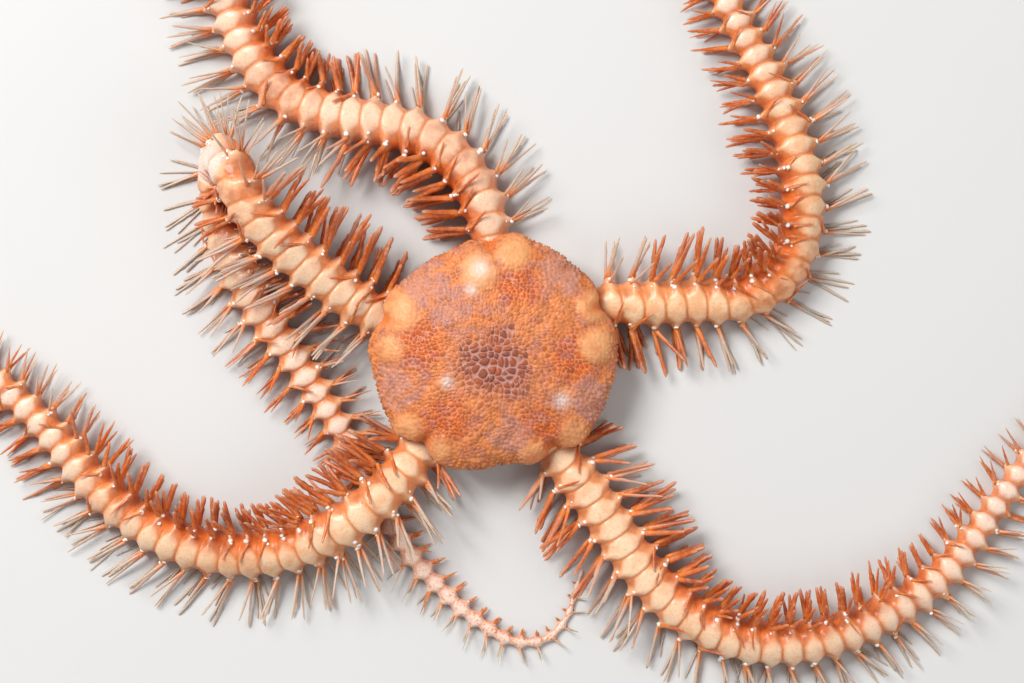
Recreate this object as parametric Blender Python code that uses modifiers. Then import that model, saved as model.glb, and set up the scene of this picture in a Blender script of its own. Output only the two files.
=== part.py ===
"""A brittle star at life size, resting on the floor with one arm folded back under itself.

Lengths are in millimetres and angles in degrees until a mesh is made, which is in metres. X runs to the
right of the animal as seen from above, Y away from the viewer and Z up. Every piece is worked out round
the middle of the disc, and the whole is then placed so that the box round it is centred on the origin.
"""

import math
import random

import bmesh
import bpy
import numpy as np
from mathutils import Matrix, Vector

METRE = 0.001
GAP = 0.35
SEED = 7

# The disc: its rim as (azimuth, radius), and its section as (share of the radius, height).
DISC_RIM = (
    (0, 12.1), (22, 11.7), (46, 11.6), (68, 11.6), (90, 11.6), (108, 10.9), (127, 11.1), (150, 11.6),
    (176, 12.2), (195, 12.1), (212, 12.3), (231, 11.9), (256, 11.9), (274, 11.1), (300, 11.6), (322, 12.1),
    (341, 12.0),
)
DISC_SECTION = (
    (0.0, 8.1), (0.22, 8.0), (0.42, 7.8), (0.6, 7.4), (0.75, 6.9), (0.87, 6.3), (0.955, 5.6), (1.0, 4.9),
    (0.985, 4.2), (0.94, 3.1), (0.86, 1.9), (0.74, 1.0), (0.58, 0.8), (0.3, 0.8), (0.0, 0.8),
)
DISC_SIDES = 40
SHIELD_OFFSET = 13.0
SHIELD_PLACE = 0.8
SHIELD_RISE = 0.45
SHIELD_REACH = 1.9

# The mouth: a pit under the disc, filled by five jaws that point at its middle.
PIT_RADIUS = 7.0
PIT_TOP = 4.1
PIT_SIDES = 30
CUTTER_BOTTOM = -2.0
TUNNEL_START = 1.0
TUNNEL_BEYOND = 5.0
TUNNEL_RINGS = 7
TUNNEL_GAP = 0.47
JAW_TIP = 0.8
JAW_SLIT = 0.25
JAW_SLIT_END = 3.55
JAW_WAIST = 5.0
JAW_SHOULDER = 6.2
JAW_OUTER = 6.6
JAW_END_TURNS = (-8.0, 0.0, 8.0)
JAW_INSIDE = 4.0
JAW_BOTTOM = 0.4
JAW_TOP = 3.7
JAW_ROUNDING = 0.3

# The arms: each route point is (x, y, lift off the floor, lean of the back along X, and along Y).
ROUTES = {
    "east": (
        (3.9, 1.6, 0.0, 0.0, 0.0), (11.75, 4.85, 0.2, 0.0, -0.1), (14.6, 4.9, 0.1, 0.0, -0.3),
        (20.2, 5.2, 0.0, 0.1, -0.45), (25.0, 5.6, 0.0, 0.3, -0.6), (28.3, 7.3, 0.0, 0.6, -0.6),
        (30.2, 10.4, 0.0, 0.8, -0.3), (30.9, 14.7, 0.0, 0.6, 0.0), (30.5, 18.7, 0.0, 0.4, 0.0),
        (29.2, 23.2, 0.0, 0.15, 0.0), (27.4, 27.6, 0.0, 0.1, 0.0), (24.9, 32.3, 0.0, 0.0, 0.0),
        (22.6, 36.4, 0.0, 0.0, 0.0), (19.0, 41.2, 0.0, 0.0, 0.0), (14.0, 44.6, 0.0, 0.1, 0.1),
        (8.0, 46.3, 0.0, 0.1, 0.1), (1.5, 46.2, 0.0, 0.0, 0.1), (-3.6, 43.8, 0.0, 0.0, 0.0),
        (-6.6, 40.0, 0.0, 0.0, 0.0), (-7.2, 36.4, 0.0, 0.0, 0.0),
    ),
    "south_east": (
        (2.1, -3.65, 0.0, 0.0, 0.0), (6.1, -10.1, 0.2, 0.0, 0.0), (8.5, -12.9, 0.1, 0.0, 0.0),
        (11.6, -17.3, 0.0, 0.0, 0.0), (15.1, -22.2, 0.0, 0.0, -0.1), (19.6, -26.4, 0.0, -0.3, -0.5),
        (24.8, -28.8, 0.0, -0.1, -0.7), (30.5, -29.2, 0.0, 0.1, -0.6), (35.6, -28.0, 0.0, 0.2, -0.5),
        (40.6, -25.6, 0.0, 0.2, -0.3), (44.7, -22.7, 0.0, 0.0, 0.0), (48.1, -18.8, 0.0, 0.0, 0.0),
        (51.1, -14.7, 0.0, 0.0, 0.0), (53.9, -10.8, 0.0, 0.0, 0.0), (57.8, -6.2, 0.0, 0.0, 0.0),
        (61.9, -1.6, 0.0, 0.0, 0.0), (64.6, 4.2, 0.0, 0.0, 0.0), (65.0, 10.4, 0.0, 0.0, 0.0),
        (62.9, 15.6, 0.0, 0.0, 0.0), (59.8, 18.6, 0.0, 0.0, 0.0),
    ),
    "south_west": (
        (-2.6, -3.3, 0.0, 0.0, 0.0), (-7.3, -9.3, 0.3, 0.0, 0.0), (-9.5, -12.4, 1.3, 0.0, 0.0),
        (-12.0, -14.9, 2.5, 0.0, -0.1), (-14.6, -16.9, 2.3, 0.1, -0.2), (-19.4, -19.3, 0.7, 0.0, -0.5),
        (-24.9, -20.3, 0.0, 0.0, -0.6), (-30.4, -19.6, 0.0, -0.1, -0.6), (-35.4, -17.2, 0.0, -0.3, -0.5),
        (-39.9, -13.5, 0.0, -0.4, -0.35), (-43.4, -9.5, 0.0, -0.3, -0.2), (-46.9, -5.8, 0.0, -0.2, -0.2),
        (-50.2, -3.0, 0.0, -0.1, -0.1), (-55.2, 0.8, 0.0, 0.0, 0.0), (-60.4, 4.0, 0.0, 0.0, 0.0),
        (-65.4, 8.4, 0.0, 0.0, 0.0), (-67.9, 14.2, 0.0, 0.0, 0.0), (-67.5, 20.4, 0.0, 0.0, 0.0),
        (-64.6, 25.4, 0.0, 0.0, 0.0), (-61.2, 27.8, 0.0, 0.0, 0.0),
    ),
    "west": (
        (-4.1, 1.0, 0.0, 0.0, 0.0), (-11.3, 3.4, 0.5, 0.0, 0.0), (-13.6, 4.8, 1.0, 0.0, 0.0),
        (-17.5, 7.8, 2.4, -0.2, -0.1), (-21.4, 11.2, 4.1, -0.7, -0.2), (-24.3, 14.7, 5.3, -1.7, -0.5),
        (-25.2, 16.5, 5.5, -2.2, -0.6), (-25.8, 17.9, 5.2, -2.5, -0.7), (-26.5, 18.8, 4.2, -2.6, -0.8),
        (-27.0, 19.1, 2.8, -2.6, -0.8), (-27.4, 18.7, 1.4, -2.5, -0.7), (-27.6, 17.6, 0.4, -2.4, -0.6),
        (-27.6, 16.1, 0.0, -2.1, -0.5), (-27.1, 12.7, 0.0, -1.2, -0.3),
        (-25.9, 9.0, 0.0, -0.6, -0.2), (-23.9, 4.8, 0.0, -0.2, -0.1), (-20.9, 0.5, 0.0, 0.0, 0.0),
        (-17.4, -4.8, 0.0, 0.0, 0.0), (-14.4, -9.8, 0.0, 0.0, 0.0), (-11.6, -15.2, 0.0, 0.0, 0.0),
        (-8.9, -19.9, 0.0, 0.0, 0.0), (-5.5, -23.8, 0.0, 0.0, 0.0), (-1.5, -27.3, 0.0, 0.0, 0.0),
        (2.0, -29.2, 0.0, 0.0, 0.0), (5.2, -29.0, 0.0, 0.0, 0.0), (7.3, -26.8, 0.0, 0.0, 0.0),
        (8.2, -24.0, 0.1, 0.0, 0.0), (8.9, -21.9, 0.2, 0.0, 0.0),
    ),
    "north": (
        (0.1, 4.3, 0.0, 0.0, 0.0), (-0.4, 11.4, 0.2, 0.1, 0.0), (-1.2, 14.7, 0.1, 0.1, 0.05),
        (-3.3, 18.6, 0.0, 0.15, 0.15), (-7.0, 21.5, 0.0, 0.15, 0.25), (-11.5, 22.9, 0.0, 0.1, 0.35),
        (-16.5, 23.9, 0.0, 0.0, 0.35), (-21.0, 25.9, 0.0, -0.1, 0.1), (-24.0, 29.3, 0.0, -0.3, -0.1),
        (-26.0, 33.2, 0.0, -0.4, 0.0), (-27.5, 37.4, 0.0, -0.2, 0.0), (-29.6, 42.6, 0.0, 0.0, 0.0),
        (-33.0, 48.0, 0.0, 0.0, 0.0), (-37.8, 52.4, 0.0, 0.0, 0.0), (-43.8, 55.0, 0.0, 0.0, 0.0),
        (-50.2, 55.2, 0.0, 0.0, 0.0), (-55.8, 52.6, 0.0, 0.0, 0.0), (-59.6, 47.8, 0.0, 0.0, 0.0),
        (-60.4, 42.6, 0.0, 0.0, 0.0), (-58.8, 38.8, 0.0, 0.0, 0.0),
    ),
}
# Where each arm is parted, in millimetres along it from the mouth.
CUTS = {
    "east": (16.0, 30.0, 46.0, 64.0),
    "south_east": (16.0, 32.0, 48.0, 66.0),
    "south_west": (14.0, 28.0, 46.0, 64.0),
    "west": (16.5, 26.5, 39.5, 55.0, 72.0),
    "north": (16.0, 30.0, 46.0, 64.0),
}
LENGTH_NAMES = ("base", "lower", "middle", "outer", "end", "tip")
RIM_REACH = 7.6
HALF_WIDTH = 2.35
UNDER_DISC = ((0.0, 0.62), (7.6, 0.9), (11.0, 1.0))
TAPER = (
    (0.0, 1.0), (0.2, 1.0), (0.32, 0.97), (0.42, 0.86), (0.53, 0.66), (0.63, 0.52), (0.75, 0.41),
    (0.85, 0.29), (0.93, 0.16), (1.0, 0.06),
)
HEIGHT_SHARE = 0.9
REST_SHARE = 0.78
WAIST_SHARE = 0.84
SHOULDER_PLACE = 0.6
FIRST_JOINT = 8.4
JOINT_PITCH = ((0.0, 2.5), (0.2, 2.4), (0.42, 2.15), (0.85, 2.05), (1.0, 1.6))
FINE_RINGS_TO = 0.42
ARM_SIDES = 8
SLIM_SIDES = 6
SLIM_FROM = 0.5
STATION = 0.2
SMOOTH_SPAN = 1.2
RING_MARGIN = 0.3

# The spines: fans on both sides of each joint, at angles from the middle of the arm's back.
SPINE_ANGLES = ((42.0, 96.0), (68.0, 118.0))
TIP_SPINE_ANGLES = ((70.0,), (95.0,))
TWO_SPINES_TO = 0.54
SPINE_LENGTH = 5.6
SPINE_TAPER = (
    (0.0, 0.9), (0.06, 1.0), (0.35, 1.0), (0.5, 0.8), (0.62, 0.64), (0.8, 0.46), (0.95, 0.22), (1.0, 0.15),
)
TIP_SPINE_THICKNESS = 0.8
SPINE_ROOT_RADIUS = 0.4
SPINE_TIP_RADIUS = 0.13
SPINE_SINK = 0.55
SPINE_SINK_SHARE = 0.6
SPINE_SIDES = 3
SPINE_LEAN = 16.0
SPINE_SCATTER = 7.0
LAST_SPINE = 0.97
SPINE_FLOOR = 0.35
SPINE_CLEARANCE = 0.42
SPINE_SAMPLES = 11
ARM_SWELL = 1.08
OWN_ARM_REACH = 6.5
DISC_UNDERSIDE = 1.0
TIGHT_BEND = 0.25
SPINE_TRIES = ((0.0, 1.0), (14.0, 1.0), (0.0, 0.75), (20.0, 0.75), (0.0, 0.5), (24.0, 0.5))

CORAL = (0.72, 0.33, 0.13, 1.0)
CREAM = (0.8, 0.6, 0.42, 1.0)
AMBER = (0.55, 0.24, 0.09, 1.0)


def clear_scene():
    """Removes every object, so that only the animal is in the file."""
    for old in list(bpy.data.objects):
        bpy.data.objects.remove(old, do_unlink=True)


def make_material(name, colour, roughness):
    """A Principled BSDF of one colour."""
    material = bpy.data.materials.new(name)
    material.use_nodes = True
    shader = material.node_tree.nodes["Principled BSDF"]
    shader.inputs["Base Color"].default_value = colour
    shader.inputs["Roughness"].default_value = roughness
    shader.inputs["Metallic"].default_value = 0.0
    return material


def table_value(table, at):
    """The value of a table of (place, value) pairs at a place, straight between its rows."""
    places, values = zip(*table)
    return np.interp(at, places, values)


def hermite(points, knots, at):
    """Cubic pieces through rows of points, each knot's slope taken from its two neighbours."""
    slope = np.gradient(points, knots, axis=0)
    piece = np.clip(np.searchsorted(knots, at, side="right") - 1, 0, len(knots) - 2)
    span = (knots[piece + 1] - knots[piece])[:, None]
    t = (at - knots[piece])[:, None] / span
    return (
        (2 * t**3 - 3 * t**2 + 1) * points[piece]
        + (t**3 - 2 * t**2 + t) * span * slope[piece]
        + (3 * t**2 - 2 * t**3) * points[piece + 1]
        + (t**3 - t**2) * span * slope[piece + 1]
    )


def chord_length(points):
    """The length of the straight way through the points, up to each of them."""
    return np.r_[0.0, np.cumsum(np.linalg.norm(np.diff(points, axis=0), axis=1))]


def eased_curve(points):
    """Stations along a curve through the points: Hermite pieces over the chord, then a running average."""
    points = np.array(points, float)
    chord = chord_length(points[:, :3])
    curve = hermite(points, chord, np.arange(0.0, chord[-1], STATION))
    reach = int(SMOOTH_SPAN / STATION)
    padded = np.pad(curve, ((reach, reach), (0, 0)), mode="reflect", reflect_type="odd")
    kernel = np.hanning(2 * reach + 3)[1:-1]
    kernel /= kernel.sum()
    return np.column_stack([np.convolve(column, kernel, mode="valid") for column in padded.T])


def unit(vectors):
    """The same vectors at length one."""
    return vectors / np.linalg.norm(vectors, axis=-1, keepdims=True)


class ArmLine:
    """An arm's centreline at close stations: its reach, centre, heading, back, side and half width."""

    def __init__(self, name):
        curve = eased_curve(ROUTES[name])
        self.name = name
        self.reach = chord_length(curve[:, :3])
        self.length = self.reach[-1]
        share = self.share(self.reach)
        self.half = HALF_WIDTH * table_value(TAPER, share) * table_value(UNDER_DISC, self.reach)
        self.centre = curve[:, :3] + np.outer(REST_SHARE * self.half, (0, 0, 1))
        self.heading = unit(np.gradient(self.centre, self.reach, axis=0))
        back = np.column_stack([curve[:, 3:5], np.ones(len(curve))])
        along = (back * self.heading).sum(1, keepdims=True)
        self.back = unit(back - along * self.heading)
        self.side = np.cross(self.heading, self.back)

    def share(self, reach):
        """How far out of the disc a place is, from 0 at the rim to 1 at the tip."""
        return np.clip((reach - RIM_REACH) / (self.length - RIM_REACH), 0.0, 1.0)

    def at(self, reach):
        """The centre, heading, back, side and half width at one reach."""
        rows = [
            np.array([np.interp(reach, self.reach, column) for column in table.T])
            for table in (self.centre, self.heading, self.back, self.side)
        ]
        return rows[0], unit(rows[1]), unit(rows[2]), unit(rows[3]), np.interp(reach, self.reach, self.half)

    def bend(self, reach, hand):
        """How sharply the arm turns towards one of its sides, as one over the radius."""
        near = self.at(max(reach - 0.8, 0.0))[1]
        far = self.at(min(reach + 0.8, self.length))[1]
        return float(np.dot(far - near, hand * self.at(reach)[3])) / 1.6

    def joints(self):
        """The reach of each joint's start, one pitch after another out to the tip."""
        starts = [FIRST_JOINT]
        while starts[-1] < self.length:
            starts.append(starts[-1] + float(table_value(JOINT_PITCH, self.share(starts[-1]))))
        return starts[:-1]


def ring(line, reach, fullness, grow=0.0, sides=ARM_SIDES):
    """The corners of an arm's section: a rounded ring across the heading, pressed flat on the floor."""
    centre, _, back, side, half = line.at(reach)
    half = half * fullness + grow
    turn = math.radians(360.0 / sides)
    corners = [
        centre
        + half * math.sin(turn * (k + 0.5)) * side
        + half * HEIGHT_SHARE * math.cos(turn * (k + 0.5)) * back
        for k in range(sides)
    ]
    corners = np.array(corners)
    corners[:, 2] = np.maximum(corners[:, 2], 0.0)
    return corners


def ring_places(line, start, end):
    """The rings of one length of arm, as (reach, fullness): a waist and a shoulder at each joint."""
    places = []
    joints = line.joints() + [line.length]
    for joint, following in zip(joints, joints[1:]):
        shoulder = joint + SHOULDER_PLACE * (following - joint)
        if line.share(joint) < FINE_RINGS_TO:
            places.append((joint, WAIST_SHARE))
        places.append((shoulder, 1.0))
    inner = [place for place in places if start + RING_MARGIN < place[0] < end - RING_MARGIN]
    if start == 0.0:
        inner = [(RIM_REACH / 2, WAIST_SHARE)] + inner
    return [(start, WAIST_SHARE)] + inner + [(end, WAIST_SHARE)]


def mesh_object(name, mesh, collection):
    """An object for a mesh, in a collection."""
    made = bpy.data.objects.new(name, mesh)
    collection.objects.link(made)
    return made


def loft(name, rings, collection):
    """A closed body through rings with the same number of corners, with a flat cap at each end."""
    shape = bmesh.new()
    loops = [[shape.verts.new(Vector(corner) * METRE) for corner in corners] for corners in rings]
    for near, far in zip(loops, loops[1:]):
        for k in range(len(near)):
            following = (k + 1) % len(near)
            shape.faces.new((near[k], near[following], far[following], far[k]))
    shape.faces.new(list(reversed(loops[0])))
    shape.faces.new(loops[-1])
    bmesh.ops.recalc_face_normals(shape, faces=shape.faces)
    mesh = bpy.data.meshes.new(name)
    shape.to_mesh(mesh)
    shape.free()
    return mesh_object(name, mesh, collection)


def join_pieces(body, pieces, operation):
    """One Boolean of a collection of pieces into or out of a body, applied, with the pieces removed."""
    joint = body.modifiers.new("pieces", "BOOLEAN")
    joint.operation = operation
    joint.operand_type = "COLLECTION"
    joint.collection = pieces
    joint.solver = "EXACT"
    bpy.context.view_layer.update()
    evaluated = body.evaluated_get(bpy.context.evaluated_depsgraph_get())
    joined = bpy.data.meshes.new_from_object(evaluated)
    body.modifiers.clear()
    body.data = joined
    for piece in list(pieces.objects):
        bpy.data.objects.remove(piece, do_unlink=True)
    bpy.data.collections.remove(pieces)


def keep_largest(body):
    """Drops every closed surface of a body but the one with the most faces."""
    shape = bmesh.new()
    shape.from_mesh(body.data)
    loose = set(shape.faces)
    largest = []
    while loose:
        island = [loose.pop()]
        for face in island:
            near = {other for edge in face.edges for other in edge.link_faces} & loose
            loose -= near
            island.extend(near)
        largest = max(largest, island, key=len)
    extra = set(shape.faces) - set(largest)
    bmesh.ops.delete(shape, geom=list(extra), context="FACES")
    shape.to_mesh(body.data)
    shape.free()


def shade_round(body, limit=40.0):
    """Smooth shading with edges over the limit kept sharp."""
    body.data.shade_smooth()
    body.data.set_sharp_from_angle(angle=math.radians(limit))


def disc_radius(azimuth):
    """The disc's radius at an azimuth, eased between the rows of its rim."""
    angles = np.array([row[0] for row in DISC_RIM], float)
    radii = np.array([row[1] for row in DISC_RIM], float)
    angles = np.r_[angles - 360, angles, angles + 360]
    radii = np.tile(radii, 3)[:, None]
    return float(hermite(radii, angles, np.array([azimuth % 360]))[0, 0])


def arm_azimuths(lines):
    """The azimuth at which each arm leaves the disc, in order round it."""
    found = []
    for line in lines.values():
        centre = line.at(RIM_REACH)[0]
        found.append((math.degrees(math.atan2(centre[1], centre[0])) % 360, line.name))
    return sorted(found)


def shield_rise(point, azimuths):
    """How far the paired radial shields lift the disc's upper face at a point."""
    rise = 0.0
    for azimuth, _ in azimuths:
        for offset in (-SHIELD_OFFSET, SHIELD_OFFSET):
            angle = math.radians(azimuth + offset)
            place = SHIELD_PLACE * disc_radius(azimuth + offset)
            distance = math.hypot(point[0] - place * math.cos(angle), point[1] - place * math.sin(angle))
            rise += SHIELD_RISE * math.exp(-((distance / SHIELD_REACH) ** 2))
    return rise


def make_disc(lines, collection):
    """The disc: a sphere drawn to the rim and the section, less the mouth pit and a tunnel for each arm."""
    azimuths = arm_azimuths(lines)
    shape = bmesh.new()
    rows = len(DISC_SECTION) - 1
    bmesh.ops.create_uvsphere(shape, u_segments=DISC_SIDES, v_segments=rows, radius=1.0)
    rim_row = [share for share, height in DISC_SECTION].index(1.0)
    for vert in shape.verts:
        polar = math.degrees(math.acos(max(-1.0, min(1.0, vert.co.z))))
        row = round(polar / 180.0 * rows)
        share, height = DISC_SECTION[row]
        azimuth = math.degrees(math.atan2(vert.co.y, vert.co.x))
        radius = share * disc_radius(azimuth)
        x = radius * math.cos(math.radians(azimuth))
        y = radius * math.sin(math.radians(azimuth))
        if row < rim_row:
            height += shield_rise((x, y), azimuths)
        vert.co = Vector((x, y, height)) * METRE
    mesh = bpy.data.meshes.new("disc")
    shape.to_mesh(mesh)
    shape.free()
    disc = mesh_object("disc", mesh, collection)
    cutters = bpy.data.collections.new("cutters")
    bpy.context.scene.collection.children.link(cutters)
    make_pit_cutter(cutters)
    for line in lines.values():
        make_tunnel_cutter(line, cutters)
    join_pieces(disc, cutters, "DIFFERENCE")
    keep_largest(disc)
    return disc


def make_pit_cutter(collection):
    """A drum from below the disc to the roof of the mouth pit."""
    middle = (PIT_TOP + CUTTER_BOTTOM) / 2
    shape = bmesh.new()
    bmesh.ops.create_cone(
        shape, cap_ends=True, segments=PIT_SIDES, radius1=PIT_RADIUS * METRE, radius2=PIT_RADIUS * METRE,
        depth=(PIT_TOP - CUTTER_BOTTOM) * METRE, matrix=Matrix.Translation((0, 0, middle * METRE)),
    )
    mesh = bpy.data.meshes.new("pit cutter")
    shape.to_mesh(mesh)
    shape.free()
    cutter = mesh_object("pit cutter", mesh, collection)
    cutter.hide_render = True
    cutter.display_type = "WIRE"


def make_tunnel_cutter(line, collection):
    """An arch a gap larger than the arm, open below, from the pit out past the rim."""
    rings = []
    for reach in np.linspace(TUNNEL_START, RIM_REACH + TUNNEL_BEYOND, TUNNEL_RINGS):
        corners = ring(line, reach, 1.0, grow=TUNNEL_GAP)
        centre = line.at(reach)[0]
        below = corners[:, 2] < centre[2]
        corners[below, 2] = CUTTER_BOTTOM
        rings.append(corners)
    cutter = loft("tunnel cutter " + line.name, rings, collection)
    cutter.hide_render = True
    cutter.display_type = "WIRE"


def beside_arm(azimuth, along, across):
    """A point as far along an arm's axis from the middle, and as far to the side of it."""
    angle = math.radians(azimuth)
    return (
        along * math.cos(angle) - across * math.sin(angle),
        along * math.sin(angle) + across * math.cos(angle),
    )


def jaw_clearance(along):
    """How far a jaw's side stands off the axis of an arm: half of the arm's width there and a gap."""
    inside = max(along - JAW_INSIDE, 0.0)
    return HALF_WIDTH * float(table_value(UNDER_DISC, inside)) + GAP


def jaw_outline(near_arm, far_arm):
    """A jaw seen from below: a point at the mouth, two slits, two sides along the arms and a rounded end."""
    middle = near_arm + (far_arm - near_arm) % 360 / 2
    one_side = (
        (JAW_TIP, JAW_SLIT),
        (JAW_SLIT_END, JAW_SLIT),
        (JAW_SLIT_END, jaw_clearance(JAW_INSIDE)),
        (JAW_WAIST, (jaw_clearance(JAW_INSIDE) + jaw_clearance(JAW_SHOULDER)) / 2),
        (JAW_SHOULDER, jaw_clearance(JAW_SHOULDER)),
    )
    points = [beside_arm(near_arm, along, across) for along, across in one_side]
    for turn in JAW_END_TURNS:
        angle = math.radians(middle + turn)
        points.append((JAW_OUTER * math.cos(angle), JAW_OUTER * math.sin(angle)))
    points.extend(beside_arm(far_arm, along, -across) for along, across in reversed(one_side))
    return points


def make_jaws(lines, collection):
    """Five jaws, one between each pair of arms, each a flat outline with its edges taken off."""
    azimuths = arm_azimuths(lines)
    jaws = []
    for k, (azimuth, _) in enumerate(azimuths):
        following = azimuths[(k + 1) % len(azimuths)][0]
        curve = bpy.data.curves.new(f"jaw_{k + 1}", "CURVE")
        curve.dimensions = "2D"
        curve.fill_mode = "BOTH"
        curve.extrude = (JAW_TOP - JAW_BOTTOM) / 2 * METRE
        points = jaw_outline(azimuth, following)
        spline = curve.splines.new("POLY")
        spline.points.add(len(points) - 1)
        for vertex, (x, y) in zip(spline.points, points):
            vertex.co = (x * METRE, y * METRE, 0.0, 1.0)
        spline.use_cyclic_u = True
        jaw = bpy.data.objects.new(curve.name, curve)
        collection.objects.link(jaw)
        jaw.location.z = (JAW_TOP + JAW_BOTTOM) / 2 * METRE
        weld = jaw.modifiers.new("weld", "WELD")
        weld.merge_threshold = 0.00001
        bevel = jaw.modifiers.new("bevel", "BEVEL")
        bevel.width = JAW_ROUNDING * METRE
        bevel.segments = 1
        jaws.append(jaw)
    return jaws


class Spines:
    """The spines that have been placed, and what a new one has to keep clear of."""

    def __init__(self, lines):
        self.lines = lines
        self.roots = np.zeros((0, 3))
        self.tips = np.zeros((0, 3))
        self.nodes = []
        self.azimuths = arm_azimuths(lines)
        self.chance = random.Random(SEED)

    def distance(self, points, starts, ends):
        """The distance from each point to each straight stretch, as a table."""
        along = ends - starts
        length = np.maximum((along**2).sum(1), 1e-12)
        offset = points[:, None, :] - starts[None]
        t = np.clip((offset * along[None]).sum(2) / length, 0.0, 1.0)
        return np.linalg.norm(offset - t[..., None] * along[None], axis=2)

    def clear(self, node, line, reach, root, tip):
        """Whether a spine keeps off the disc, the arms other than near its foot, and the other spines."""
        along = np.linspace(0.0, 1.0, SPINE_SAMPLES)
        samples = root + (tip - root) * along[:, None]
        radii = SPINE_ROOT_RADIUS + (SPINE_TIP_RADIUS - SPINE_ROOT_RADIUS) * along
        for point, radius in zip(samples, radii):
            azimuth = math.degrees(math.atan2(point[1], point[0]))
            edge = disc_radius(azimuth) + radius + GAP
            if math.hypot(point[0], point[1]) < edge and point[2] > DISC_UNDERSIDE:
                return False
        for other in self.lines.values():
            centres = other.centre[::4]
            room = self.distance(samples, centres[:-1], centres[1:])
            room = room - other.half[::4][:-1][None] * ARM_SWELL - radii[:, None]
            if other is line:
                room = room[:, np.abs(other.reach[::4][:-1] - reach) > OWN_ARM_REACH]
            if room.size and room.min() < SPINE_CLEARANCE:
                return False
        strange = np.array([placed != node for placed in self.nodes], bool)
        if strange.any():
            room = self.distance(samples, self.roots[strange], self.tips[strange])
            if (room - radii[:, None]).min() < SPINE_CLEARANCE + SPINE_ROOT_RADIUS * 0.8:
                return False
        return True

    def fit(self, node, line, reach, angle, hand):
        """The root and tip of a spine, lifted or shortened until it is clear, or None without room."""
        if line.bend(reach, hand) > TIGHT_BEND:
            return None
        centre, heading, back, side, half = line.at(reach)
        share = float(line.share(reach))
        angle += self.chance.uniform(-SPINE_SCATTER, SPINE_SCATTER)
        lean = math.radians(SPINE_LEAN + self.chance.uniform(-SPINE_SCATTER, SPINE_SCATTER))
        length = SPINE_LENGTH * float(table_value(SPINE_TAPER, share)) * self.chance.uniform(0.88, 1.06)
        for lift, shorter in SPINE_TRIES:
            turn = math.radians(angle - lift)
            out = math.cos(turn) * HEIGHT_SHARE * back + hand * math.sin(turn) * side
            surface = centre + half * out
            surface[2] = max(surface[2], 0.0)
            direction = unit(unit(out) * math.cos(lean) + heading * math.sin(lean))
            reach_out = length * shorter
            lowest = (SPINE_FLOOR + SPINE_TIP_RADIUS - surface[2]) / reach_out
            if direction[2] < lowest:
                flat = unit(direction[:2]) * math.sqrt(max(1.0 - lowest**2, 0.0))
                direction = np.array([flat[0], flat[1], lowest])
            root = surface - direction * min(SPINE_SINK, half * SPINE_SINK_SHARE)
            root[2] = max(root[2], SPINE_ROOT_RADIUS + 0.05)
            tip = surface + direction * reach_out
            if self.clear(node, line, reach, surface, tip):
                self.roots = np.vstack([self.roots, surface])
                self.tips = np.vstack([self.tips, tip])
                self.nodes.append(node)
                return root, tip
        return None


def spine_piece(root, tip, thickness, collection):
    """One spine: a three-sided cone that tapers from its root to a blunt point."""
    along = Vector(tip - root)
    turn = along.to_track_quat("Z", "Y").to_matrix().to_4x4()
    place = Matrix.Translation(Vector((root + tip) / 2) * METRE) @ turn
    shape = bmesh.new()
    bmesh.ops.create_cone(
        shape, cap_ends=True, segments=SPINE_SIDES, radius1=SPINE_ROOT_RADIUS * thickness * METRE,
        radius2=SPINE_TIP_RADIUS * thickness * METRE, depth=along.length * METRE, matrix=place,
    )
    mesh = bpy.data.meshes.new("spine")
    shape.to_mesh(mesh)
    shape.free()
    mesh_object("spine", mesh, collection)


def spine_places(line, start, end):
    """The reach, fan angle and hand of every spine on one length of arm."""
    joints = line.joints() + [line.length]
    for k, (joint, following) in enumerate(zip(joints, joints[1:])):
        reach = joint + SHOULDER_PLACE * (following - joint)
        share = float(line.share(reach))
        if not start + 0.5 < reach < end - 0.5 or share > LAST_SPINE:
            continue
        fans = SPINE_ANGLES if share < TWO_SPINES_TO else TIP_SPINE_ANGLES
        for hand in (-1, 1):
            for angle in fans[(k + (hand > 0)) % len(fans)]:
                yield reach, angle, hand


def make_arm(line, spines, collection):
    """The lengths of one arm, each a body lofted from the joints' rings with its spines fused on."""
    ends = (0.0, *CUTS[line.name], line.length)
    names = LENGTH_NAMES[: len(ends) - 2] + LENGTH_NAMES[-1:]
    lengths = []
    for name, start, end in zip(names, ends, ends[1:]):
        node = f"arm_{line.name}_{name}"
        near = start + (GAP / 2 if start > 0 else 0.0)
        far = end - (GAP / 2 if end < line.length else 0.0)
        sides = ARM_SIDES if line.share(near) < SLIM_FROM else SLIM_SIDES
        rings = [ring(line, *place, sides=sides) for place in ring_places(line, near, far)]
        body = loft(node, rings, collection)
        pieces = bpy.data.collections.new("spines of " + node)
        bpy.context.scene.collection.children.link(pieces)
        for reach, angle, hand in spine_places(line, near, far):
            fitted = spines.fit(node, line, reach, angle, hand)
            if fitted is not None:
                thickness = 1.0 if line.share(reach) < TWO_SPINES_TO else TIP_SPINE_THICKNESS
                spine_piece(*fitted, thickness, pieces)
        if pieces.objects:
            join_pieces(body, pieces, "UNION")
            keep_largest(body)
        lengths.append(body)
    return lengths


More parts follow.
